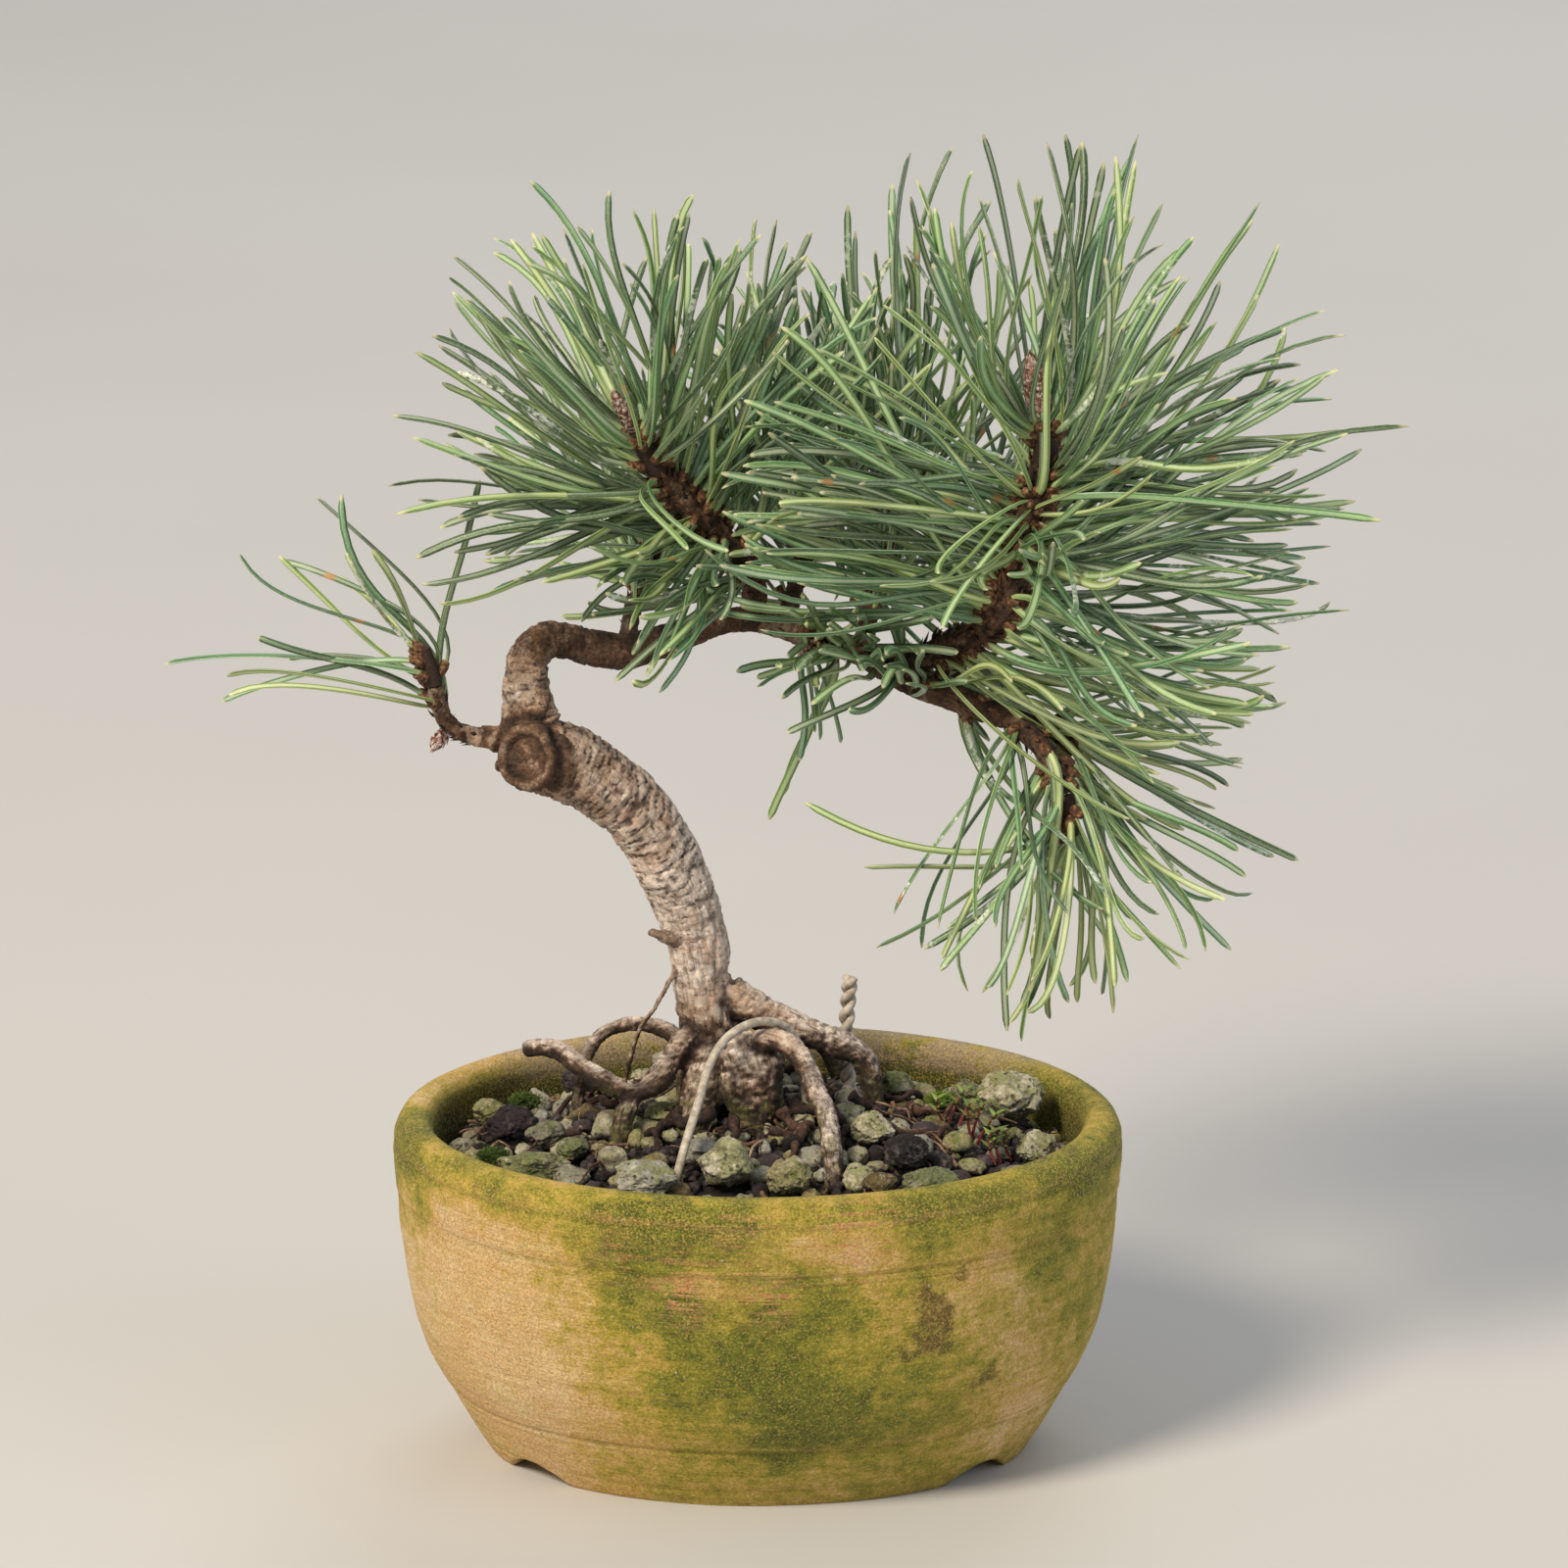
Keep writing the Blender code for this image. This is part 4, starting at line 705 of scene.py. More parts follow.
def woodSamples():  # points along all wood with their radius, coordinates along and around, and looks
    samples = []
    for number, (name, spec) in enumerate(woodRoutes.items()):
        knots = 0.2 if name.startswith("root") else 0.1
        rows = smoothRoute(spec["route"], 0.5)
        _, across, other = framesAlong(rows[:, :3])
        distance = np.append(0, np.cumsum(np.linalg.norm(np.diff(rows[:, :3], axis=0), axis=1)))
        share = distance / distance[-1]
        tone, wrinkle = (
            np.interp(share, np.linspace(0, 1, len(spec[key])), spec[key]) for key in ("tone", "wrinkle"))
        for i in range(len(rows)):
            samples.append((rows[i, :3], rows[i, 3], across[i], other[i], distance[i] + 300 * number,
                            tone[i], wrinkle[i], knots))
    return samples


def nearestSamples(points, samples):  # the closest sample, and how far off another route's skin is
    spots = np.array([sample[0] for sample in samples])
    radii = np.array([sample[1] for sample in samples])
    routes = np.array([int(sample[4] // 300) for sample in samples])
    found = np.zeros(len(points), int)
    second = np.zeros(len(points))
    for start in range(0, len(points), 4000):
        part = points[start:start + 4000]
        square = (part ** 2).sum(1)[:, None] + (spots ** 2).sum(1)[None] - 2 * part @ spots.T
        away = np.sqrt(np.maximum(square, 0)) - radii
        best = away.argmin(1)
        away[routes[best][:, None] == routes[None]] = 99
        found[start:start + 4000] = best
        second[start:start + 4000] = away.min(1)
    return found, second


def reliefOfBark(cx, cy, along, radius, wrinkle, knots):
    folds = wave(cx * 0.2, cy * 0.2, along * 0.62)
    folds *= 1 + 1.2 * wave(cx * 0.3, cy * 0.3, along * 0.2 + 20)
    folds += 0.5 * wave(cx * 0.3, cy * 0.3, along * 1.7 + 9)
    fineness = (5.0 / max(radius, 1.0)) ** 0.75  # thin roots split finer than the trunk
    plates = wave(cx * 0.42 * fineness, cy * 0.42 * fineness, along * 0.14 * fineness + 40)
    fold = min(1.0, abs(folds) * 3.2)
    plate = min(1.0, abs(plates) * 4.0)
    size = min(1.0, radius / 5.0) ** 0.7
    lift = woodSkin["wrinkleDepth"] * wrinkle * (fold - 0.6) * size
    lift += woodSkin["plateDepth"] * (1 - 0.6 * wrinkle) * (plate - 0.7) * size
    lift += woodSkin["fineDepth"] * wave(cx * 1.3, cy * 1.3, along * 1.1)
    lift += knots * radius * wave(cx * 0.12, cy * 0.12, along * (0.06 + knots) + 70)
    deep = 1 - (0.55 + 0.45 * wrinkle) * (1 - fold) ** 1.5
    return lift, min(deep, 1 - 0.8 * (1 - wrinkle) * (1 - plate) ** 1.5)


def scarRelief(radius, turn):  # a rolled ring round a sunk, cracked middle
    radius = radius * (1 + 0.10 * wave(math.cos(turn) * 1.4, math.sin(turn) * 1.4, 3.0))

    def ring(middle, width):
        return math.exp(-((radius - middle) / width) ** 2)

    sunk = -0.5 * (1 - min(1.0, radius / 3.3)) - 0.9 * ring(5.6, 0.45)
    sunk -= 0.4 * ring(3.0, 0.3)
    return 0.7 * ring(4.2, 0.8) + 0.7 * ring(6.9, 0.9) + sunk + 0.1 * math.sin(radius * 7.5)


def toSlit(point):
    a, b = (np.array(p) for p in woodSkin["slit"])
    share = np.clip((point - a).dot(b - a) / (b - a).dot(b - a), 0, 1)
    return float(np.linalg.norm(point - a - (b - a) * share))


def makeWood(material):
    raw = Batch()
    for name, spec in woodRoutes.items():
        rows = smoothRoute(spec["route"], 1.0)
        raw.add(*roundTube(rows[:, :3], rows[:, 3], 20))
    raw.add(*scarDisc())
    wood = raw.build("trunkAndRoots", [material], ["tree_wood"])
    remesh = wood.modifiers.new("skin", "REMESH")
    remesh.mode = "VOXEL"
    remesh.voxel_size = woodSkin["voxel"] * mm
    even = wood.modifiers.new("even", "SMOOTH")
    even.factor, even.iterations = woodSkin["smoothing"]
    applyAll(wood)
    mesh = wood.data
    count = len(mesh.vertices)
    points, normals = np.empty(count * 3), np.empty(count * 3)
    mesh.vertices.foreach_get("co", points)
    mesh.vertices.foreach_get("normal", normals)
    points, normals = points.reshape(-1, 3) / mm, normals.reshape(-1, 3)
    samples = woodSamples()
    nearest, second = nearestSamples(points, samples)
    fold = 1 - soften(second, 0.1, 1.9)  # painted shade where two roots meet, where the skin also sinks
    centre, facing, across, upward = scarFrame()
    names = ("tone", "deep", "rings", "alongWood", "aroundX", "aroundY")
    marks = {name: np.zeros(count) for name in names}
    lifts = np.zeros(count)
    for i, point in enumerate(points):
        spot, radius, sideways, other, along, tone, wrinkle, knots = samples[nearest[i]]
        offset = point - spot
        cx, cy = float(offset.dot(sideways)), float(offset.dot(other))
        lift, deep = reliefOfBark(cx, cy, along, radius, wrinkle, knots)
        local = point - centre
        depth = float(local.dot(facing))
        u, v = float(local.dot(across)), float(local.dot(upward)) / woodSkin["scarStretch"]
        reach = math.hypot(u, v)
        if reach < 8.0 and depth > -3.2:
            share = float(soften(reach, 8.0, 6.2))
            turn = math.atan2(v, u)
            lift = lift * (1 - 0.8 * share) + scarRelief(reach, turn) * share
            cracks = wave(u * 0.9, v * 0.9, 20.0)
            inner = reach < 2.9
            if inner:
                lift -= 0.3 * max(0.0, 1 - abs(cracks) * 7)
            deep = deep * (1 - share) + share * (0.3 if inner and abs(cracks) < 0.1 else 0.9)
            tone = tone * (1 - share) + share * float(np.interp(reach, *woodSkin["scarTone"]))
            wrinkle = wrinkle * (1 - share) + 0.5 * share
        opening = toSlit(point) / 1.6
        if opening < 1:
            lift -= 1.3 * (1 - opening) ** 2
            deep = min(deep, opening)
        # painted shade in the crotches between roots: the skin sinks there and the deep mark turns it darker
        shelter = float(fold[i]) * float(soften(point[2], 82.0, 76.0))
        lift -= 0.5 * shelter
        deep = min(deep, 1 - 0.85 * shelter)
        lifts[i] = lift
        for name, value in zip(names, (tone, deep, wrinkle, along, cx, cy)):
            marks[name][i] = value
    points += normals * lifts[:, None]
    mesh.vertices.foreach_set("co", (points * mm).ravel())
    for name, values in marks.items():
        setMark(mesh, name, values)
    mesh.update()
    mesh.shade_smooth()
    say("wood has %d points" % count)
    return wood


barkLook = {
    "black": "271c13", "brown": "654730", "grey": "b9a592", "pale": "f2e2d4", "rose": "cca488",
    "crack": "35231a", "peeled": "f3e6da", "film": "75763c", "fibre": "6a5442",
}


def barkMaterial():
    look = barkLook
    material, net, out = newMaterial("pineBark", roughness=0.88)
    marks = [net.mark(name) for name in ("aroundX", "aroundY", "alongWood")]
    along = net.take(0, "ShaderNodeCombineXYZ", marks)
    place = net.place()
    rings = net.mark("rings")
    ringed = net.noise(along, (0.3, 0.3, 1.8), 5.0, 0.68)
    fibre = net.noise(along, (1.9, 1.9, 0.3), 4.0, 0.62)
    cloud = net.noise(place, 0.3, 5.0, 0.65, 0.5)
    crumb = net.noise(place, 1.5, 4.0, 0.7)
    up = net.upward()
    z = net.parts(place)[2]
    low = net.span(z, 80.0, 70.0)
    tone = net.mark("tone") + net.sway(cloud, 1.2) + net.sway(crumb, 0.35) + net.sway(ringed, 0.6) * rings
    # painted light and shade: on the low roots, faces turned up are lighter and faces turned down darker
    tone = tone + (up - 0.38) * (low * 0.95)

    def patched(vector, size, amount):
        return net.use(patches, Vector=vector, Size=size, Amount=amount)["Mask"]

    flakes = patched(net.stretch(along, 1.0, 1.0, 1.3), 2.4, 0.36)
    dots = net.use(specks, Vector=net.stretch(along, 1.0, 1.0, 1.5), Size=0.9, Share=0.2)["Mask"]
    split = net.span(fibre, 0.44, 0.34) * net.span(rings, 0.6, 0.2, 0.1, 0.8)
    tones = [(0.0, look["black"]), (0.26, look["brown"]), (0.58, look["grey"]), (0.92, look["pale"])]
    skin = net.coats(
        net.ramp(tone, tones),
        (patched(net.stretch(along, 1.0, 1.0, 1.6), 3.2, 0.42) * 0.72, look["brown"]),
        (patched(place, 6.0, 0.46) * (net.span(tone, 0.2, 0.6, 0.1, 0.6) * net.span(low, 0.0, 1.0, 1.0, 0.3)),
         look["rose"]),
        (flakes * net.span(net.mark("tone"), 0.2, 0.85, 0.1, 0.8), look["peeled"]),
        (patched(place, 3.0, net.span(z, 60.0, 76.0, 0.52, 0.05)) * 0.65, look["film"]),
        (dots * 0.55, look["crack"]),
        (net.span(ringed, 0.45, 0.37) * net.span(rings, 0.2, 0.7, 0.1, 0.6), look["crack"]),
        (split * net.span(low, 0.0, 1.0, 0.4, 1.0), look["crack"]),
        # black stains low on the roots, with painted shade: stronger on faces turned away from the sky
        (patched(place, 2.4, low * 0.52) * net.span(up, 0.9, 0.1, 0.35, 0.85), look["black"]),
        # the deep mark lays crack colour in the bark's fold valleys, the scar's cracks and the slit, and
        # painted shade where two roots meet
        (net.span(net.mark("deep"), 0.75, 0.05, 0.0, 0.9), look["crack"]),
        (net.span(fibre, 0.6, 0.3, 0.0, 0.35), look["fibre"], "MULTIPLY"))
    relief = ringed * rings + fibre * 0.7 + flakes * 0.35 + crumb * 0.6
    net.dress(out, skin, relief, 0.95, 0.0005, rough=net.span(cloud, 0.3, 0.7, 0.95, 0.74))
    return material


bark = barkMaterial()
makeWood(bark)


# soil, grit and stones

soilBed = {
    "halfWidth": potShape["halfWidth"] - 7.1,
    "halfDepth": potShape["halfDepth"] - 7.1 * potShape["tuck"],
    "edge": 50.0, "rise": 9.0, "ripple": 0.5, "lumps": 1.1,
    "skirt": 8.0, "around": 220, "rings": 80,
}


def inBed(reach, turn):  # a place on the soil, at a share of the way from its middle to its edge
    return soilBed["halfWidth"] * reach * math.cos(turn), soilBed["halfDepth"] * reach * math.sin(turn)


def reachOf(x, y, inset=0.0):
    return math.hypot(x / (soilBed["halfWidth"] - inset), y / (soilBed["halfDepth"] - inset))


def soilHeight(x, y):
    reach = min(1.0, reachOf(x, y))
    ripple = math.sin(0.31 * x + 0.7) * math.cos(0.37 * y - 0.4)
    return soilBed["edge"] + soilBed["rise"] * (1 - reach ** 2) + soilBed["ripple"] * ripple * (1 - reach)


def soilMaterial():
    material, net, out = newMaterial("pottingGrit", roughness=0.95)
    place = net.place()
    cloud = net.noise(place, 0.5, 5.0, 0.65)
    pale = net.use(specks, Vector=place, Size=1.3, Share=0.14)["Mask"]
    film = net.use(patches, Vector=place, Size=7.0, Amount=0.34)["Mask"]
    earth = net.ramp(cloud, [(0.3, "050302"), (0.52, "130d08"), (0.75, "33281c")])
    earth = net.coats(earth, (pale * 0.7, "8c8069"), (film * 0.5, "3c4718"))
    net.dress(out, earth, net.cells(place, 0.9) + cloud, 1.0, 0.0006)
    return material


def makeSoil(material):
    around, rings = soilBed["around"], soilBed["rings"]
    turn = turns(around)
    rows = []
    for share, drop in ((0.955, -soilBed["skirt"]), (0.985, -4.0), (0.99, -1.0)):
        rows.append([(*inBed(share, t), soilBed["edge"] + drop) for t in turn])
    for i in range(rings):
        row = []
        for t in turn:
            x, y = inBed(0.99 * (1 - i / rings) ** 0.8, t)
            lump = wave(x * 0.3, y * 0.3, 1) + 0.6 * wave(x * 0.9, y * 0.9, 7)
            row.append((x, y, soilHeight(x, y) - 1.2 + soilBed["lumps"] * lump))
        rows.append(row)
    bed = Batch()
    bed.add(np.array(rows).reshape(-1, 3), ringFaces(len(rows), around))
    return bed.build("soilSurface", [material], ["soil_bed"])


def icoBall(level):  # unit points and faces of a geodesic ball
    mesh = bpy.data.meshes.new("ball")
    work = bmesh.new()
    bmesh.ops.create_icosphere(work, subdivisions=level, radius=1.0)
    work.to_mesh(mesh)
    work.free()
    points = np.array([v.co for v in mesh.vertices])
    faces = [tuple(p.vertices) for p in mesh.polygons]
    bpy.data.meshes.remove(mesh)
    return points, faces


balls = {level: icoBall(level) for level in (2, 3, 5)}


def lumpyStone(level, half, seed, flats, rough=0.12, pits=0.0):  # a broken lump, about half in each half size
    dice = random.Random(seed)
    points, faces = balls[level]
    cuts = [(unit([dice.gauss(0, 1) for _ in range(3)]), dice.uniform(0.7, 0.9)) for _ in range(flats)]
    radius = np.ones(len(points))
    for way, reach in cuts:
        lean = points @ way
        radius = np.where(lean > 0.15, np.minimum(radius, reach / np.maximum(lean, 0.15)), radius)
    shift = Vector([dice.uniform(0, 90) for _ in range(3)])
    marks = np.zeros(len(points))
    for i, point in enumerate(points):
        spot = Vector(point)
        bumps = noise.noise(spot * 1.6 + shift) + 0.5 * noise.noise(spot * 4.0 + shift)
        if level > 3:
            bumps += 0.45 * noise.noise(spot * 9.0 + shift) + 0.3 * noise.noise(spot * 19.0 + shift)
            crack = max(0.0, 1 - abs(noise.noise(spot * 2.3 + shift * 2)) * 9)
            bumps -= 0.5 * crack
            marks[i] = crack * 0.8
        radius[i] *= 1 + rough * bumps
        if pits:
            hole = max(0.0, 0.42 - noise.voronoi(spot * 3.4 + shift)[0][0]) / 0.42
            radius[i] -= pits * hole ** 1.5
            marks[i] = max(marks[i], hole)
    return points * radius[:, None] * np.asarray(half), faces, marks


def stoneMaterial(name, tones, greens, pitSize):
    material, net, out = newMaterial(name, roughness=0.92)
    place = net.place()
    lot = net.mark("lot")
    cloud = net.noise(place, 0.5, 5.0, 0.65, 0.3)
    blotch = net.noise(place, 0.9, 6.0, 0.75, 0.4)
    up = net.upward()
    green = lot * greens["byStone"] + greens["least"] + up * 0.06
    film = net.use(patches, Vector=place, Size=2.6, Amount=green)["Mask"]
    dark = net.use(specks, Vector=place, Size=pitSize, Share=0.45)["Mask"]
    sand = net.use(grain, Vector=place, Size=0.5)
    skin = net.coats(
        net.ramp(lot * 0.7 + cloud * 0.3, tones),
        (net.span(cloud, 0.5, 0.72, 0.0, 0.55), tones[-1][1]),
        (net.span(net.part(lot, 7.3), 0.5, 0.75, 0.0, 0.45), greens["cool"]),
        (film * greens["strength"], greens["tint"]),
        (dark * 0.7, "2a251c"),
        (net.span(blotch, 0.45, 0.33, 0.0, 0.75), "4f4836", "MULTIPLY"),
        (net.span(blotch, 0.56, 0.7, 0.0, 0.35), greens["tint"]),
        ((1.0 - sand["Shade"]) * 0.35, "7a7264", "MULTIPLY"),
        # painted shade: faces turned down are darker
        (net.span(up, 0.25, -0.5, 0.0, 0.75), "2c251b", "MULTIPLY"),
        # painted shade: the pits and cracks are painted near black
        (net.mark("pit") * 0.6, "1a1410"))
    net.dress(out, skin, sand["Height"] - dark * 0.8 + blotch * 1.5, 1.0, 0.0005)
    return material


stoneKinds = {}  # each kind's material and how deep its pits are on the named stones
stoneKinds["pumice"] = 0.07, stoneMaterial(
    "pumice", [(0.0, "7d7762"), (0.3, "aaa284"), (0.6, "dcd3b4"), (1.0, "fff8e4")],
    {"byStone": 0.34, "least": 0.22, "strength": 0.7, "tint": "8f9440", "cool": "a9aeb0"}, 1.0)
stoneKinds["lava"] = 0.16, stoneMaterial(
    "lava", [(0.0, "0d0908"), (0.35, "261d1c"), (0.7, "54464a"), (1.0, "9a8e88")],
    {"byStone": 0.1, "least": 0.14, "strength": 0.5, "tint": "4c5720", "cool": "41353c"}, 0.8)
stoneKinds["grit_stone"] = 0.03, stoneMaterial(
    "gritStone", [(0.0, "5c4228"), (0.3, "8a7a4c"), (0.6, "b3aa7c"), (1.0, "e4dcc0")],
    {"byStone": 0.42, "least": 0.18, "strength": 0.75, "tint": "6c7c30", "cool": "8b8f92"}, 1.3)

stoneTints = {  # where each named stone stands between its material's darkest and palest tone
    "pumice_large": 0.72, "stone_green_front": 0.95, "pumice_white_front": 0.98, "pumice_cream_front": 0.66,
    "stone_yellow": 0.6, "stone_brown_front": 0.05, "pumice_cream_right": 0.7, "lava_right": 0.2,
    "stone_mottled_left": 0.9, "stone_yellow_left": 0.62, "stone_lavender": 0.4, "stone_olive": 0.8,
    "lava_left": 0.25, "stone_moss_right": 0.92, "pumice_pale_right": 0.9, "lava_back_left": 0.1,
    "stone_grey_back": 0.5, "pumice_back": 0.6, "lava_back_right": 0.3, "pumice_back_left": 0.5,
}


def makeStones():
    for number, (node, tint) in enumerate(stoneTints.items()):
        middle, half = boxOf(node)
        kind = "lava" if "lava" in node else "pumice" if "pumice" in node else "grit_stone"
        pits, material = stoneKinds[kind]
        points, faces, marks = lumpyStone(5, half * 1.2, 40 + number, flats=12, pits=pits)
        stone = Batch()
        stone.add(points + middle, faces, lot=tint, pit=marks)
        stone.build(camel(node), [material], [node])
    say("stones done")


gritSpread = {  # how many, least and most size, depth of pits, kind of stone, seed; crumbs are plainer balls
    "pumiceGrit": (100, (1.4, 3.3), 0.05, "pumice", 3),
    "stoneGrit": (120, (1.1, 2.8), 0.0, "grit_stone", 7),
    "lavaGrit": (560, (0.9, 2.5), 0.2, "lava", 5),
    "paleCrumbs": (350, (0.35, 0.9), 0.0, "grit_stone", 9),
    "darkCrumbs": (1300, (0.35, 1.0), 0.0, "lava", 11),
}


def keepClear():  # circles on the soil that grit stays out of: the root base and the named stones
    circles = [(-4.5, 3.5, 9.0)]
    for node in stoneTints:
        middle, half = boxOf(node)
        circles.append((middle[0], middle[1], 0.84 * half[0]))
    return circles


def makeGrit():
    circles = keepClear()
    taken = []
    for name, (count, sizes, pits, kind, seed) in gritSpread.items():
        dice = random.Random(seed)
        batch = Batch()
        placed = 0
        level, near = (3, 0.86) if "Grit" in name else (2, 0.3)
        for _ in range(count * 8):
            if placed >= count:
                break
            size = dice.uniform(*sizes)
            turn, reach = dice.uniform(0, 2 * math.pi), math.sqrt(dice.random())
            x = (soilBed["halfWidth"] - size - 0.6) * reach * math.cos(turn)
            y = (soilBed["halfDepth"] - size - 0.6) * reach * math.sin(turn)
            if any(math.hypot(x - cx, y - cy) < r + 0.4 * size for cx, cy, r in circles):
                continue
            if any(math.hypot(x - ox, y - oy) < near * (size + other) for ox, oy, other in taken):
                continue
            if level == 3:
                taken.append((x, y, size))
            half = [size * dice.uniform(*share) for share in ((0.7, 1.3), (0.7, 1.3), (0.55, 1.0))]
            points, faces, marks = lumpyStone(level, half, dice.random(), flats=8, rough=0.17, pits=pits)
            z = soilHeight(x, y) - 0.8 + half[2] * dice.uniform(0.2, 0.7)
            batch.add(points + np.array((x, y, z)), faces, lot=dice.random() * 0.75, pit=marks)
            placed += 1
        batch.build(name, [stoneKinds[kind][1]])
        say("%s: %d" % (name, placed))


makeSoil(soilMaterial())
makeStones()
makeGrit()


# wires

wires = {
    "radius": 0.75,
    "tie": [
        (-34.0, 0.0, 1.7), (-26.0, 0.0, 1.7), (-23.4, 0.0, 2.4), (-22.0, 0.0, 5.0), (-22.0, 0.0, 12.0),
        (-20.0, -10.0, 26.0), (-16.4, -23.0, 44.0), (-14.0, -27.4, 54.0), (-12.0, -24.4, 61.0),
        (-9.8, -18.4, 66.6), (-8.2, -13.4, 71.0), (-5.2, -9.4, 74.8), (-0.4, -5.6, 76.4), (4.4, -1.8, 74.6),
        (7.2, -0.4, 70.0), (8.2, 0.0, 62.0), (8.6, 0.0, 50.0), (16.0, 0.0, 30.0), (20.2, 0.0, 14.0)],
    "anchor": [
        (25.6, 3.6, 7.6), (25.6, 3.8, 16.0), (22.0, 8.0, 34.0), (16.8, 12.6, 52.0), (15.2, 13.6, 66.0),
        (15.8, 13.4, 78.4)],
    "strand": 0.72,
    "turns": 14,
}


def wireMaterial():
    material, net, out = newMaterial("coatedWire", roughness=0.5)
    place = net.place()
    cloud = net.noise(place, 0.8, 4.0, 0.6)
    dirt = net.use(patches, Vector=place, Size=2.2, Amount=0.3)["Mask"]
    skin = net.ramp(cloud, [(0.3, "8a8072"), (0.5, "b3a897"), (0.75, "d8cfc0")])
    skin = net.mix(dirt * 0.5, skin, "5a4d38")
    net.dress(out, skin, net.noise(place, 2.5), 0.35, 0.0002, rough=net.span(cloud, 0.3, 0.7, 0.62, 0.42))
    return material


def makeWires(material):
    tie = Batch()
    path = smoothRoute(wires["tie"], 0.7)
    tie.add(*roundTube(path, wires["radius"], 16))
    tie.build("tieDownWire", [material], ["tie_down_wire"])
    anchor = Batch()
    core = smoothRoute(wires["anchor"], 0.28)
    _, across, other = framesAlong(core)
    turn = np.linspace(0, 2 * math.pi * wires["turns"], len(core))
    for phase in (0, math.pi):
        ring = np.cos(turn + phase)[:, None] * across + np.sin(turn + phase)[:, None] * other
        anchor.add(*roundTube(core + ring * wires["strand"] * 0.98, wires["strand"], 12))
    anchor.build("anchorWireTwist", [material], ["anchor_wire"])


makeWires(wireMaterial())
say("wires done")


# shoots: the stretch of branch each stands on, its needles' number and length, where they aim, and tips that
# stand out; tone runs from dark blue green at 0 to olive at 1

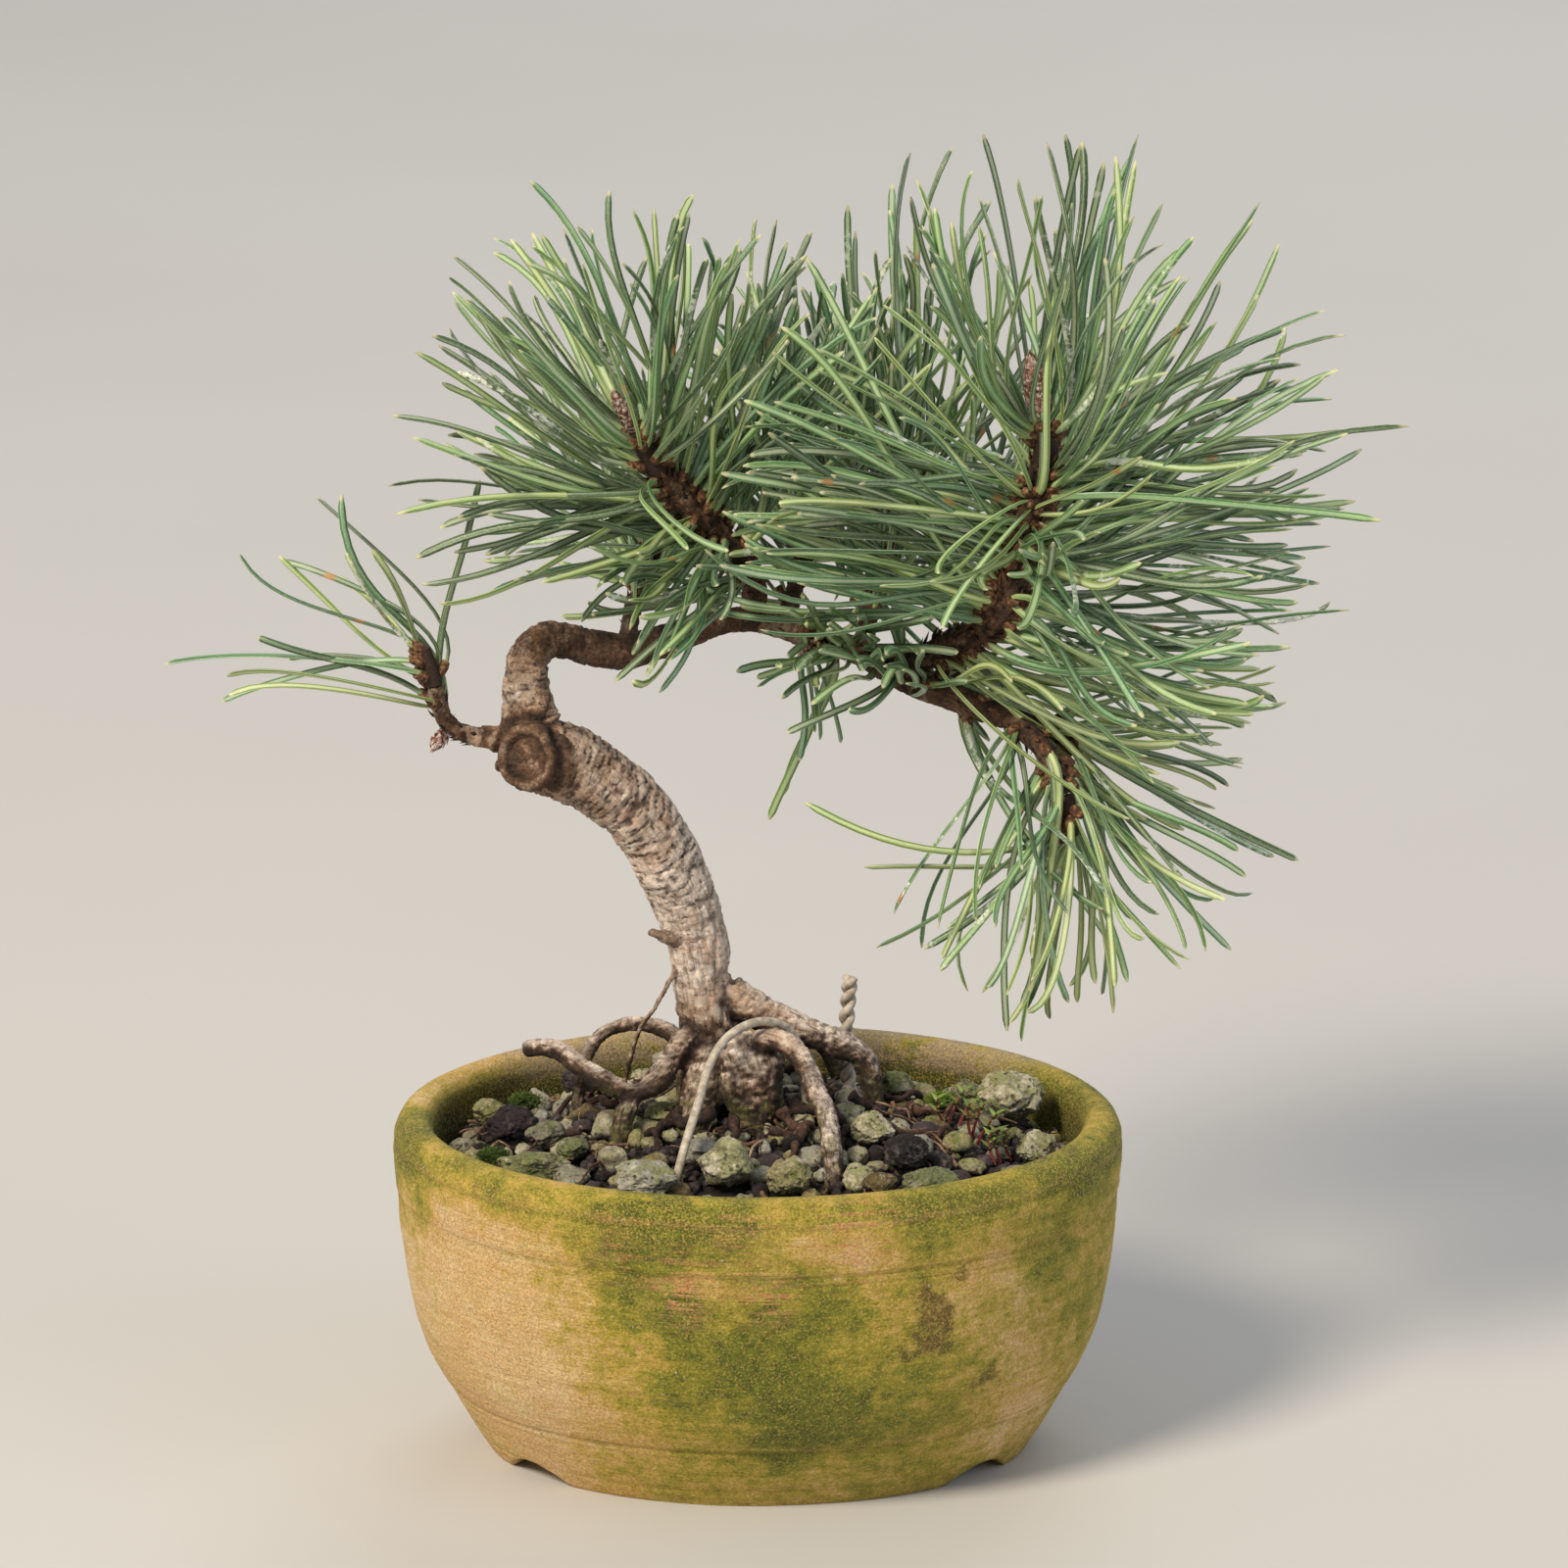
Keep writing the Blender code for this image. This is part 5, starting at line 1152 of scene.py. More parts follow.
shoots = {
    "side_twig": {
        "on": "side_twig", "from": ("side_twig", 0.66, 1.0), "up": (-0.25, -0.3, 1.0), "long": 7.0,
        "pairs": 2, "size": (30, 42), "aim": (-1.0, 0.0, 0.62), "spread": 26, "bend": 0.12, "sag": 0.06,
        "tone": 0.52, "tips": [
            (-99, -9, 140), (-90, -3, 132), (-86, -12, 160), (-80, -2, 157), (-83, -14, 146), (-79, 2, 138),
            (-69, -8, 169), (-68, -16, 161), (-71, 4, 152), (-64, -10, 160), (-46, -10, 172)]},
    "left_crown_tip": {
        "on": "left_crown", "from": ("left_crown", 0.8, 1.0), "up": (-0.4, -0.3, 1.0), "long": 9.0,
        "pairs": 25, "size": (34, 47), "aim": (-0.25, -0.2, 1.0), "spread": 60,
        "tone": 0.33, "tips": [
            (-35, -22, 216), (-29, -30, 219), (-24, -16, 222), (-20, -26, 221), (-17, -6, 217),
            (-11, -20, 219), (-32, -4, 213)]},
    "left_crown_left": {
        "from": ("left_crown", 0.5, 0.98),
        "pairs": 13, "size": (34, 48), "aim": (-1.0, -0.3, 0.45), "spread": 46,
        "tone": 0.33, "tips": [
            (-56, -20, 196), (-48, -10, 202), (-49, -34, 182), (-61, -14, 172), (-59, -26, 170),
            (-52, -30, 156), (-44, -4, 195)]},
    "left_crown_front": {
        "from": ("left_crown", 0.2, 0.75),
        "pairs": 13, "size": (30, 42), "aim": (-0.6, -1.0, 0.2), "spread": 48, "sag": 0.0, "bend": 0.1,
        "tone": 0.42, "tips": [
            (-35, -36, 161), (-27, -30, 154), (-27, -44, 169), (-21, -24, 150)]},
    "left_crown_right": {
        "from": ("left_crown", 0.4, 0.9),
        "pairs": 22, "size": (34, 46), "aim": (0.4, -0.1, 1.0), "spread": 50,
        "tone": 0.34, "tips": [
            (0, -4, 215), (9, 4, 211), (-4, -12, 204), (5, 10, 208)]},
    "back_twig": {
        "on": "back_twig", "from": ("back_twig", 0.3, 1.0), "up": (0.1, 0.7, 1.0), "long": 6.0,
        "pairs": 24, "size": (34, 46), "aim": (-0.3, 0.9, 0.9), "spread": 55,
        "tone": 0.3, "tips": [
            (-39, 44, 187), (-29, 52, 190), (-19, 50, 197)]},
    "middle_left": {
        "on": "middle_left", "from": ("middle_left", 0.12, 1.0), "up": (0.0, 0.5, 1.0), "long": 8.0,
        "pairs": 36, "size": (34, 46), "aim": (-0.1, 0.0, 1.0), "spread": 74,
        "tone": 0.25, "tips": [
            (13, 48, 193), (-2, 52, 194), (15, 30, 197)]},
    "middle_right": {
        "on": "middle_right", "from": ("middle_right", 0.12, 1.0), "up": (0.1, 0.4, 1.0), "long": 8.0,
        "pairs": 38, "size": (36, 50), "aim": (0.0, 0.05, 1.0), "spread": 74,
        "tone": 0.3, "tips": [
            (23, 44, 211), (26, 36, 218), (33, 30, 220), (18, 56, 193)]},
    "back_right": {
        "on": "back_right", "from": ("back_right", 0.3, 1.0), "up": (0.4, 0.6, 0.7), "long": 7.0,
        "pairs": 40, "size": (36, 50), "aim": (0.6, 0.35, 0.6), "spread": 68,
        "tone": 0.3, "tips": [
            (74, 66, 190), (86, 48, 207), (90, 56, 198), (56, 70, 193)]},
    "right_crown_tip": {
        "on": "right_crown", "from": ("right_crown", 0.82, 1.0), "up": (-0.45, -0.15, 1.0), "long": 7.0,
        "pairs": 20, "size": (38, 50), "aim": (0.05, -0.1, 1.0), "spread": 44,
        "tone": 0.38, "tips": [
            (37, -14, 231), (35, -34, 229), (47, -26, 232), (53, -20, 231), (58, -32, 231), (62, -24, 233),
            (25, -30, 224)]},
    "right_crown_left": {
        "from": ("right_crown", 0.36, 0.98),
        "pairs": 32, "size": (40, 53), "aim": (-1.0, -0.3, 0.35), "spread": 46,
        "tone": 0.42, "tips": [
            (-2, -34, 191), (0, -24, 187), (2, -44, 188), (12, -52, 189), (10, -40, 179), (8, -16, 211)]},
    "right_crown_right": {
        "from": ("right_crown", 0.5, 0.98),
        "pairs": 28, "size": (42, 55), "aim": (1.0, 0.05, 0.35), "spread": 46, "sag": 0.0,
        "tone": 0.4, "tips": [
            (87, -14, 199), (96, -26, 200), (96, -36, 186), (107, -22, 184), (102, -30, 170),
            (83, -4, 202)]},
    "right_crown_front": {
        "from": ("right_crown", 0.6, 0.9),
        "pairs": 8, "size": (32, 44), "aim": (0.3, -1.0, 0.25), "spread": 60, "sag": -0.06, "bend": 0.12,
        "tone": 0.55, "tips": [
            (42, -62, 173), (30, -54, 158), (20, -50, 164)]},
    "right_crown_low": {
        "from": ("right_crown", 0.2, 0.62),
        "pairs": 17, "size": (38, 50), "aim": (1.0, -0.3, -0.3), "spread": 54, "sag": -0.07, "bend": 0.1,
        "tone": 0.58, "tips": [
            (97, -34, 156), (88, -24, 147), (81, -44, 141), (78, -52, 158), (62, -44, 139)]},
    "droop_tip": {
        "on": "droop", "from": ("droop", 0.1, 1.0), "up": (0.2, -0.1, -1.0), "long": 7.0,
        "pairs": 15, "size": (34, 46), "aim": (0.05, -0.1, -1.0), "spread": 50, "sag": -0.05, "bend": 0.12,
        "tone": 0.6, "tips": [
            (67, -24, 101), (62, -20, 88), (60, -12, 80), (44, -24, 85), (28, -14, 92), (20, -20, 94),
            (37, -26, 106), (8, -12, 117)]},
    "droop_right": {
        "on": "leader", "from": ("leader", 0.74, 1.0), "up": (1.0, -0.1, -0.3), "long": 6.0,
        "pairs": 18, "size": (32, 44), "aim": (1.0, 0.0, -0.45), "spread": 58, "sag": -0.05, "bend": 0.12,
        "tone": 0.62, "tips": [
            (86, -10, 135), (83, -2, 128), (82, -12, 104), (80, -8, 90), (71, -16, 89)]},
    "under_branch": {
        "from": ("leader", 0.58, 0.82),
        "pairs": 20, "size": (24, 36), "aim": (-0.05, -1.0, 0.35), "spread": 82,
        "tone": 0.55, "tips": [
            (2, 2, 110), (7, -4, 122), (14, 0, 124), (0, -8, 136)]},
}
needleShape = {
    "tufts": 6, "gather": 0.6,  # how many loose tufts a shoot has, and how far its needles lean into them
    "halfWidth": (0.54, 0.7),
    "rows": 18,
    # half round section: (across, outward), with a shallow channel on the side that faces its twin
    "section": [
        (-1.0, 0.05), (-0.74, 0.58), (0.0, 0.88), (0.74, 0.58), (1.0, 0.05), (0.55, -0.12), (0.0, 0.08),
        (-0.55, -0.12)],
    "pairAngle": (4.0, 22.0),
    "bend": 0.08,  # how far a needle strays from straight, as a share of its length; a shoot may have its own
    "kink": 0.014,
    "sheath": 2.4,
}
seatGap = 0.3  # between a branch's end and what stands on it


def seatOnBranch(point, up):  # nearest place on a branch, its radius, and the way out square to it
    best = None
    for name, spec in woodRoutes.items():
        if name.startswith("root") or name == "trunk":
            continue
        rows = smoothRoute(spec["route"], 1.0)
        distance = np.linalg.norm(rows[1:-1, :3] - point, axis=1)
        i = int(np.argmin(distance)) + 1
        if best is None or distance[i - 1] < best[0]:
            best = (distance[i - 1], rows[i, :3], rows[i, 3], unit(rows[i + 1, :3] - rows[i - 1, :3]))
    _, place, radius, along = best
    return place, radius, unit(up - along * along.dot(up))


def shootStem(spec):  # points and radii of the short stem at a branch's end
    up = unit(spec["up"])
    rows = smoothRoute(woodRoutes[spec["on"]]["route"], 4.0)
    ahead = unit(rows[-1, :3] - rows[-2, :3])
    points = [rows[-1, :3] + ahead * seatGap]
    for k in range(1, 6):
        blend = 0.6 * min(1.0, k / 3)
        points.append(points[-1] + unit(ahead * (1 - blend) + up * blend) * spec["long"] / 5)
    share = np.arange(6) / 5
    return np.column_stack([points, rows[-1, 3] * (1 - 0.45 * share ** 2)])


def needleSource(spec):  # points and radii of the wood that the shoot's needles stand on
    name, first, last = spec["from"]
    branch = smoothRoute(woodRoutes[name]["route"], 2.0)[:, :4]
    rows = branch[int(first * (len(branch) - 1)):int(last * (len(branch) - 1)) + 1]
    if "on" in spec:
        rows = np.vstack([rows, shootStem(spec)[1:]])
    return smoothRoute(rows, 0.5)


def scatter(dice, size=1.0):
    return np.array([dice.gauss(0, size) for _ in range(3)])


def bladeOf(start, leave, tip, bow, kink, halfWidth, flat, twist):  # one needle's points, faces and marks
    count = needleShape["rows"]
    length = float(np.linalg.norm(tip - start))
    # the last rows lie close together, for the blunt tip
    t = np.append(np.linspace(0, 0.955, count - 3), (0.975, 0.99, 1.0))[:, None]
    a = start + leave * length * 0.24
    b = tip - (tip - start) * 0.34 + bow * length
    path = (1 - t) ** 3 * start + 3 * (1 - t) ** 2 * t * a + 3 * (1 - t) * t * t * b + t ** 3 * tip
    path += np.sin(2 * math.pi * t) * kink * length
    _, across, other = framesAlong(path, start=flat)
    share = t[:, 0]
    turn = (twist * share)[:, None]
    side = np.cos(turn) * across + np.sin(turn) * other
    face = np.cos(turn) * other - np.sin(turn) * across
    blunt = np.clip((1.004 - share) / 0.05, 0.08, 1.0) ** 0.5
    width = halfWidth * np.minimum(1.0, 0.72 + 3.5 * share) * blunt
    section = np.array(needleShape["section"])
    ring = section[None, :, 0, None] * side[:, None] + section[None, :, 1, None] * face[:, None]
    shape = path[:, None] + width[:, None, None] * ring
    marks = {
        "alongNeedle": np.repeat(share, len(section)), "acrossNeedle": np.tile(section[:, 0], count),
        "channel": np.tile(section[:, 1] < 0.3, count)}
    return shape.reshape(-1, 3), ringFaces(count, len(section)), marks


def sheathOf(start, leave):
    steps = np.array([-0.6, 0.4, 1.5, needleShape["sheath"]])
    return roundTube(start + leave * steps[:, None], [0.55, 1.0, 0.95, 0.62], 8)


def growShoot(name, spec, materials):
    dice = random.Random("needles " + name)
    batch = Batch()
    bare = {"alongNeedle": 0.0, "acrossNeedle": 0.0, "channel": 0.0, "lot": 0.5, "shootTone": 0.5}
    if "on" in spec:
        stem = smoothRoute(shootStem(spec), 0.8)
        batch.add(*roundTube(stem[:, :3], stem[:, 3], 12), slot=2, **bare)
    source = needleSource(spec)
    way, across, other = framesAlong(source[:, :3])
    aim = unit(spec["aim"])
    tips = [np.array(tip, float) for tip in spec["tips"]] + [None] * spec["pairs"]
    tufts = [unit(aim + scatter(dice, 0.8)) for _ in range(needleShape["tufts"])]
    for number, tip in enumerate(tips):
        lowest, lean = (0.12, 0.7) if "on" in spec else (0.0, 1.0)
        i = int((lowest + (0.98 - lowest) * dice.random() ** lean) * (len(source) - 1))
        turn = number * math.radians(137.5) + dice.uniform(-0.4, 0.4)
        if tip is not None or "on" not in spec:  # side shoots leave the branch towards where they aim
            towards = aim if tip is None else unit(tip - source[i, :3])
            turn = math.atan2(towards.dot(other[i]), towards.dot(across[i])) + dice.gauss(0, 0.45)
        outward = math.cos(turn) * across[i] + math.sin(turn) * other[i]
        start = source[i, :3] + outward * source[i, 3] * 0.85
        leave = unit(outward * 0.85 + way[i] * 0.45 + aim * 0.2)
        halfWidth = dice.uniform(*needleShape["halfWidth"])
        alone = tip is not None and name == "side_twig"
        if tip is None:
            angle = math.radians(spec["spread"]) * math.sqrt(dice.random())
            stray = unit(outward + scatter(dice, 0.35))
            heading = unit(aim * math.cos(angle) + stray * math.sin(angle))
            heading = unit(heading + max(tufts, key=heading.dot) * needleShape["gather"])
            tip = start + heading * dice.uniform(*spec["size"])
        heading = unit(tip - start)
        length = float(np.linalg.norm(tip - start))
        roll = unit(np.cross(heading, scatter(dice)))
        fork = math.radians(dice.uniform(*needleShape["pairAngle"]))
        twin = unit(heading * math.cos(fork) + roll * math.sin(fork))
        ends = [tip] if alone else [tip, start + twin * length * dice.uniform(0.8, 0.99)]
        lot = dice.random()
        bend = spec.get("bend", needleShape["bend"])
        shared = scatter(dice, bend * 0.8)
        for side, end in zip((-1, 1), ends):
            bow = shared + scatter(dice, bend * 0.5)
            bow[2] += spec.get("sag", 0.025) + dice.uniform(-0.035, 0.035)
            kink = scatter(dice, needleShape["kink"])
            points, faces, marks = bladeOf(
                start + roll * side * 0.3, unit(leave + roll * side * 0.16), end, bow, kink, halfWidth,
                -roll * side, dice.uniform(-1.3, 1.3))
            batch.add(points, faces, lot=(lot + 0.06 * side) % 1.0, shootTone=spec["tone"], **marks)
        points, faces = sheathOf(start, leave)
        batch.add(points, faces, slot=1, **bare)
    batch.build(camel("shoot_" + name) + "Needles", materials, ["shoot_" + name], sharp=62)
    return len(tips)


def needleMaterial():
    look = {
        "dark": "2f4f24", "blue": "4e895a", "sage": "7caa56", "olive": "a4b45c", "lines": "d3dfbd",
        "edge": "d9e3c2", "tip": "e6dcae", "base": "c0d088", "rust": "bd8544", "deposit": "ebeee6"}
    material, net, out = newMaterial("pineNeedle", roughness=0.4, Specular_IOR_Level=0.7)
    lot, along, across = net.mark("lot"), net.mark("alongNeedle"), net.mark("acrossNeedle")
    strip = net.take(0, "ShaderNodeCombineXYZ", (across, along, lot * 50.0))
    place = net.place()
    cloud = net.noise(place, 0.12)
    value = net.mark("shootTone") + net.sway(lot, 1.05) + net.sway(cloud, 0.5)
    lines = net.noise(strip, (7.0, 1.2, 1.0), 3.0, 0.6)
    fleck = net.noise(strip, (9.0, 90.0, 1.0), 2.0)
    aside = net.math("ABSOLUTE", across)
    band = net.span(net.math("ABSOLUTE", along - net.part(lot, 17.3)), 0.004, 0.035, 0.8, 0.0)
    salt = net.use(patches, Vector=place, Size=0.85, Amount=net.span(cloud, 0.4, 0.65, 0.28, 0.56))["Mask"]
    tones = [(0.08, look["dark"]), (0.36, look["blue"]), (0.58, look["sage"]), (0.95, look["olive"])]
    skin = net.coats(
        net.ramp(value, tones),
        # pale stripes along the needle: partly its own lines, partly painted highlight
        (net.span(lines, 0.52, 0.68, 0.0, 0.6), look["lines"]),
        (net.span(lines, 0.46, 0.34, 0.0, 0.75), look["dark"]),
        (net.span(fleck, 0.55, 0.7, 0.0, 0.5), look["lines"]),
        # painted highlight: a paler stripe down the middle of each needle
        (net.span(aside, 0.5, 0.1) * net.span(value, 0.2, 0.8, 0.22, 0.5), look["lines"]),
        (net.mark("channel") * net.span(aside, 0.7, 0.2, 0.0, 0.4), look["lines"]),
        # painted shade: the needle darkens towards its sides
        (net.span(aside, 0.5, 0.75) * net.span(aside, 0.98, 0.85, 0.0, 0.6), look["dark"]),
        # painted highlight: a thin pale line along each edge
        (net.span(aside, 0.93, 1.0, 0.0, 0.5), look["edge"]),
        (net.span(along, 0.16, 0.0, 0.0, 0.75), look["base"]),
        (net.span(along, 0.972, 0.992, 0.0, 0.6), look["tip"]),
        # a few needles have a rusty band or dried salt
        (band * net.span(net.part(lot, 43.7), 0.94, 0.96), look["rust"]),
        (salt * net.span(net.part(lot, 29.1), 0.88, 0.94) * 0.75, look["deposit"]))
    net.dress(out, skin, lines + fleck * 0.3, 0.5, 0.0002, rough=net.span(lines, 0.35, 0.7, 0.34, 0.52))
    return material


def sheathMaterial():
    material, net, out = newMaterial("paperSheath", roughness=0.8)
    place = net.place()
    skin = net.ramp(net.noise(place, 1.6), [(0.3, "2c1a10"), (0.5, "5c3a24"), (0.75, "a88258")])
    net.dress(out, skin, net.noise(place, 3.0), 0.6, 0.0002)
    return material


tipward = np.repeat((0.0, 0.3, 0.62, 0.86, 1.0), 4)  # how near each of a scale's points is to its tip


def scaleOf(base, along, out, length, width, lean, curl):  # one pointed, curved scale as a closed wedge
    side = np.cross(along, out)
    rows = []
    spot = np.array(base, float)
    heading = lean
    for wide, thick in ((0.8, 0.32), (1.0, 0.3), (0.75, 0.2), (0.4, 0.12), (0.06, 0.03)):
        forward = along * math.cos(heading) + out * math.sin(heading)
        lifted = out * math.cos(heading) - along * math.sin(heading)
        w, h = width * wide / 2, width * thick
        rows.append([spot + side * w, spot + lifted * h, spot - side * w, spot - lifted * h * 0.4])
        spot = spot + forward * length * 0.27
        heading += curl / 4
    return np.array(rows).reshape(-1, 3), ringFaces(5, 4)


# dark bracts clothe the crown's branches
bractPlaces = {  # route: (first share, last share, how many per millimetre, length, least and most lean)
    "right_crown": (0.1, 1.0, 5.4, 2.3, 10, 52),
    "left_crown": (0.15, 1.0, 5.0, 2.1, 10, 52),
    "middle_left": (0.3, 1.0, 3.4, 1.8, 8, 40),
    "middle_right": (0.3, 1.0, 3.4, 1.8, 8, 40),
    "back_right": (0.3, 1.0, 3.4, 1.8, 8, 40),
    "back_twig": (0.3, 1.0, 3.0, 1.6, 8, 40),
    "droop": (0.1, 1.0, 3.6, 1.7, 8, 40),
    "leader": (0.5, 1.0, 5.0, 1.3, 2, 24),
    "side_twig": (0.35, 1.0, 3.0, 1.5, 8, 40),
}


def bractMaterial():
    material, net, out = newMaterial("darkBract", roughness=0.7)
    place = net.place()
    value = net.mark("lot") * 0.6 + net.noise(place, 0.9, 4.0, 0.6) * 0.4
    skin = net.ramp(value, [(0.15, "0c0705"), (0.45, "24150c"), (0.7, "482a1a"), (0.92, "86593a")])
    skin = net.mix(net.span(net.mark("tipward"), 0.55, 1.0, 0.0, 0.36), skin, "8c5a34")
    net.dress(out, skin, net.noise(place, 3.2), 0.6, 0.0002)
    return material


def makeBracts(material):
    dice = random.Random(21)
    batch = Batch()
    total = 0
    for name, (first, last, density, size, leastLean, mostLean) in bractPlaces.items():
        rows = smoothRoute(woodRoutes[name]["route"], 0.4)
        way, across, other = framesAlong(rows[:, :3])
        start, end = int(first * (len(rows) - 1)), int(last * (len(rows) - 1))
        count = int((end - start) * 0.4 * density)
        for n in range(count):
            i = start + int((end - start) * (n + dice.random()) / count)
            turn = n * math.radians(137.5) + dice.uniform(-0.3, 0.3)
            outward = math.cos(turn) * across[i] + math.sin(turn) * other[i]
            base = rows[i, :3] + outward * rows[i, 3] * 0.86
            length = size * dice.uniform(0.7, 1.25)
            lean = math.radians(dice.uniform(leastLean, mostLean))
            width, curl = length * dice.uniform(0.4, 0.62), dice.uniform(-0.7, 0.6)
            shape, faces = scaleOf(base, way[i], outward, length, width, lean, curl)
            batch.add(shape, faces, lot=dice.random(), tipward=tipward)
            total += 1
    batch.build("branchBracts", [material])
    say("bracts: %d" % total)


def makeNeedles():
    materials = [needleMaterial(), sheathMaterial(), bark]
    total = 0
    for name, spec in shoots.items():
        total += growShoot(name, spec, materials)
    say("needle pairs: %d" % total)


makeNeedles()
makeBracts(bractMaterial())


# buds

buds = {
    "bud_right_crown": {"on": "right_crown_tip", "long": 11.0, "radius": 2.1, "scales": 90},
    "bud_left_crown": {"on": "left_crown_tip", "long": 8.0, "radius": 1.4, "scales": 60},
    "bud_side_twig": {
        "at": (-51.9, -4.1, 128.4), "up": (-0.7, -0.6, -0.1), "long": 3.2, "radius": 1.3, "scales": 26},
    "bud_middle": {
        "at": (9.6, 4.4, 141.4), "up": (-0.1, -0.9, -0.3), "long": 3.4, "radius": 1.4, "scales": 26},
}


def budMaterial():
    material, net, out = newMaterial("budScale", roughness=0.6)
    place = net.place()
    cloud = net.noise(place, 1.1, 4.0)
    resin = net.use(patches, Vector=place, Size=0.7, Amount=0.44)["Mask"]
    skin = net.coats(
        net.ramp(cloud * 0.6 + net.mark("lot") * 0.4, [(0.2, "2a110b"), (0.5, "5c2c1e"), (0.8, "8c5a45")]),
        (resin * 0.8, "e6d8ce"), (net.span(net.mark("tipward"), 0.6, 1.0, 0.0, 0.35), "d8c0b0"))
    net.dress(out, skin, cloud, 0.5, 0.0003)
    return material


def makeBuds(material):
    for number, (node, spec) in enumerate(buds.items()):
        dice = random.Random(60 + number)
        if "on" in spec:
            stem = shootStem(shoots[spec["on"]])[:, :3]
            up = unit(stem[-1] - stem[-2])
            base = stem[-1] + up * seatGap
        else:
            seat, radius, up = seatOnBranch(np.array(spec["at"]), unit(spec["up"]))
            base = seat + up * (radius + seatGap)
        batch = Batch()
        shares = np.linspace(0, 1, 14)
        core = base + up * spec["long"] * shares[:, None]
        girth = spec["radius"] * 0.86 * np.sin(np.clip(0.2 + 0.8 * shares, 0, 0.985) * math.pi) ** 0.6
        girth = np.maximum(girth, 0.12)
        batch.add(*roundTube(core, girth, 14), lot=0.2, tipward=0.0)
        _, across, other = framesAlong(core)
        for n in range(spec["scales"]):
            share = 0.02 + 0.9 * n / spec["scales"]
            i = min(int(share * 13), 12)
            turn = n * math.radians(137.5)
            outward = math.cos(turn) * across[i] + math.sin(turn) * other[i]
            radius = float(np.interp(share, shares, girth))
            spot = base + up * spec["long"] * share + outward * radius * 0.9
            taper = float(np.interp(share + 0.1, shares, girth)) - radius
            lean = math.atan2(taper, 0.1 * spec["long"]) + 0.18
            size = spec["radius"] * dice.uniform(0.95, 1.25)
            shape, faces = scaleOf(spot, up, outward, size, size * 0.75, lean, dice.uniform(-0.2, 0.2))
            batch.add(shape, faces, lot=dice.random(), tipward=tipward)
        batch.build(camel(node), [material], [node])
    say("buds done")


makeBuds(budMaterial())


# moss cushions, dead needles, thin roots and a seedling

mossTints = {"moss_right": 0.9, "moss_left": 0.4, "moss_back": 0.5}  # how light each clump is
mossLeaves = {"count": 420, "size": (0.7, 1.2)}


def mossMaterial():
    material, net, out = newMaterial("cushionMoss", roughness=0.9)
    place = net.place()
    value = net.noise(place, 1.4, 4.0) * 0.6 + net.mark("lot") * 0.4
    skin = net.ramp(value, [(0.15, "18220a"), (0.45, "41561a"), (0.75, "7d9634"), (0.95, "b4bf66")])
    net.dress(out, skin, net.noise(place, 4.0), 0.8, 0.0003)
    return material


def makeMoss(material):
    for number, (node, lot) in enumerate(mossTints.items()):
        dice = random.Random(80 + number)
        centre, half = boxOf(node)
        batch = Batch()
        points, faces, _ = lumpyStone(3, half * 0.82, 70 + number, flats=0)
        batch.add(points + centre, faces, lot=0.1)
        for _ in range(mossLeaves["count"]):
            way = unit((dice.gauss(0, 1), dice.gauss(0, 1), abs(dice.gauss(0, 1))))
            outward = unit(way / half)
            side = unit(np.cross(outward, scatter(dice)))
            leaf = unit(outward * 0.8 + side * 0.6)
            size = dice.uniform(*mossLeaves["size"])
            foot = centre + way * half * 0.78
            shape, faces = scaleOf(foot, leaf, np.cross(leaf, side), size, size * 0.4, 0.2, 0.4)
            batch.add(shape, faces, lot=lot * dice.uniform(0.6, 1.1))
        batch.build(camel(node), [material], [node])


litter = {
    "count": 90, "size": (4.0, 15.0), "radius": (0.16, 0.42), "seed": 17,
    # thin roots that creep over the grit: x, y, heading in degrees, length, radius
    "creepingRoots": [
        (6, -4, -20, 22, 1.3), (9, -2, 5, 26, 1.1), (4, -8, -48, 18, 1.0), (16, 2, 10, 20, 0.9),
        (20, -8, -35, 16, 0.8), (-8, -7, -95, 13, 1.2), (-13, -6, -140, 15, 1.0), (-4, -12, -75, 12, 0.9),
        (-24, 4, 165, 16, 0.8), (2, -14, -25, 15, 0.8), (26, 6, -15, 15, 0.7), (-16, 14, 130, 16, 0.9),
        (0, 22, 70, 16, 0.9), (14, 24, 40, 16, 0.8), (24, -14, -75, 10, 0.7), (-30, -10, -160, 12, 0.6)],
    "seedlings": [(37.0, -6.0, 8.0), (41.5, -11.0, 6.5), (33.0, 3.0, 7.0)],  # x, y, height
}


def litterMaterial():
    material, net, out = newMaterial("dryLitter", roughness=0.85)
    cloud = net.noise(net.place(), 1.1, 6.0, 0.75, 0.4)
    # painted light: faces turned up are paler
    value = net.mark("lot") * 0.6 + net.upward() * 0.14 + net.sway(cloud, 1.3)
    skin = net.ramp(value, [(0.0, "140c09"), (0.3, "4a3126"), (0.6, "8a6c54"), (0.9, "cdbba0")])
    net.dress(out, skin, cloud, 0.9, 0.0006)
    return material


def seedlingMaterial():
    material, net, out = newMaterial("seedling", roughness=0.55)
    cloud = net.noise(net.place(), 1.5)
    value = net.mark("lot") * 0.8 + cloud * 0.2
    skin = net.ramp(value, [(0.2, "5e1e1e"), (0.45, "8a3c30"), (0.7, "506a2a"), (0.95, "8fa650")])
    net.dress(out, skin, cloud, 0.4, 0.0002)
    return material


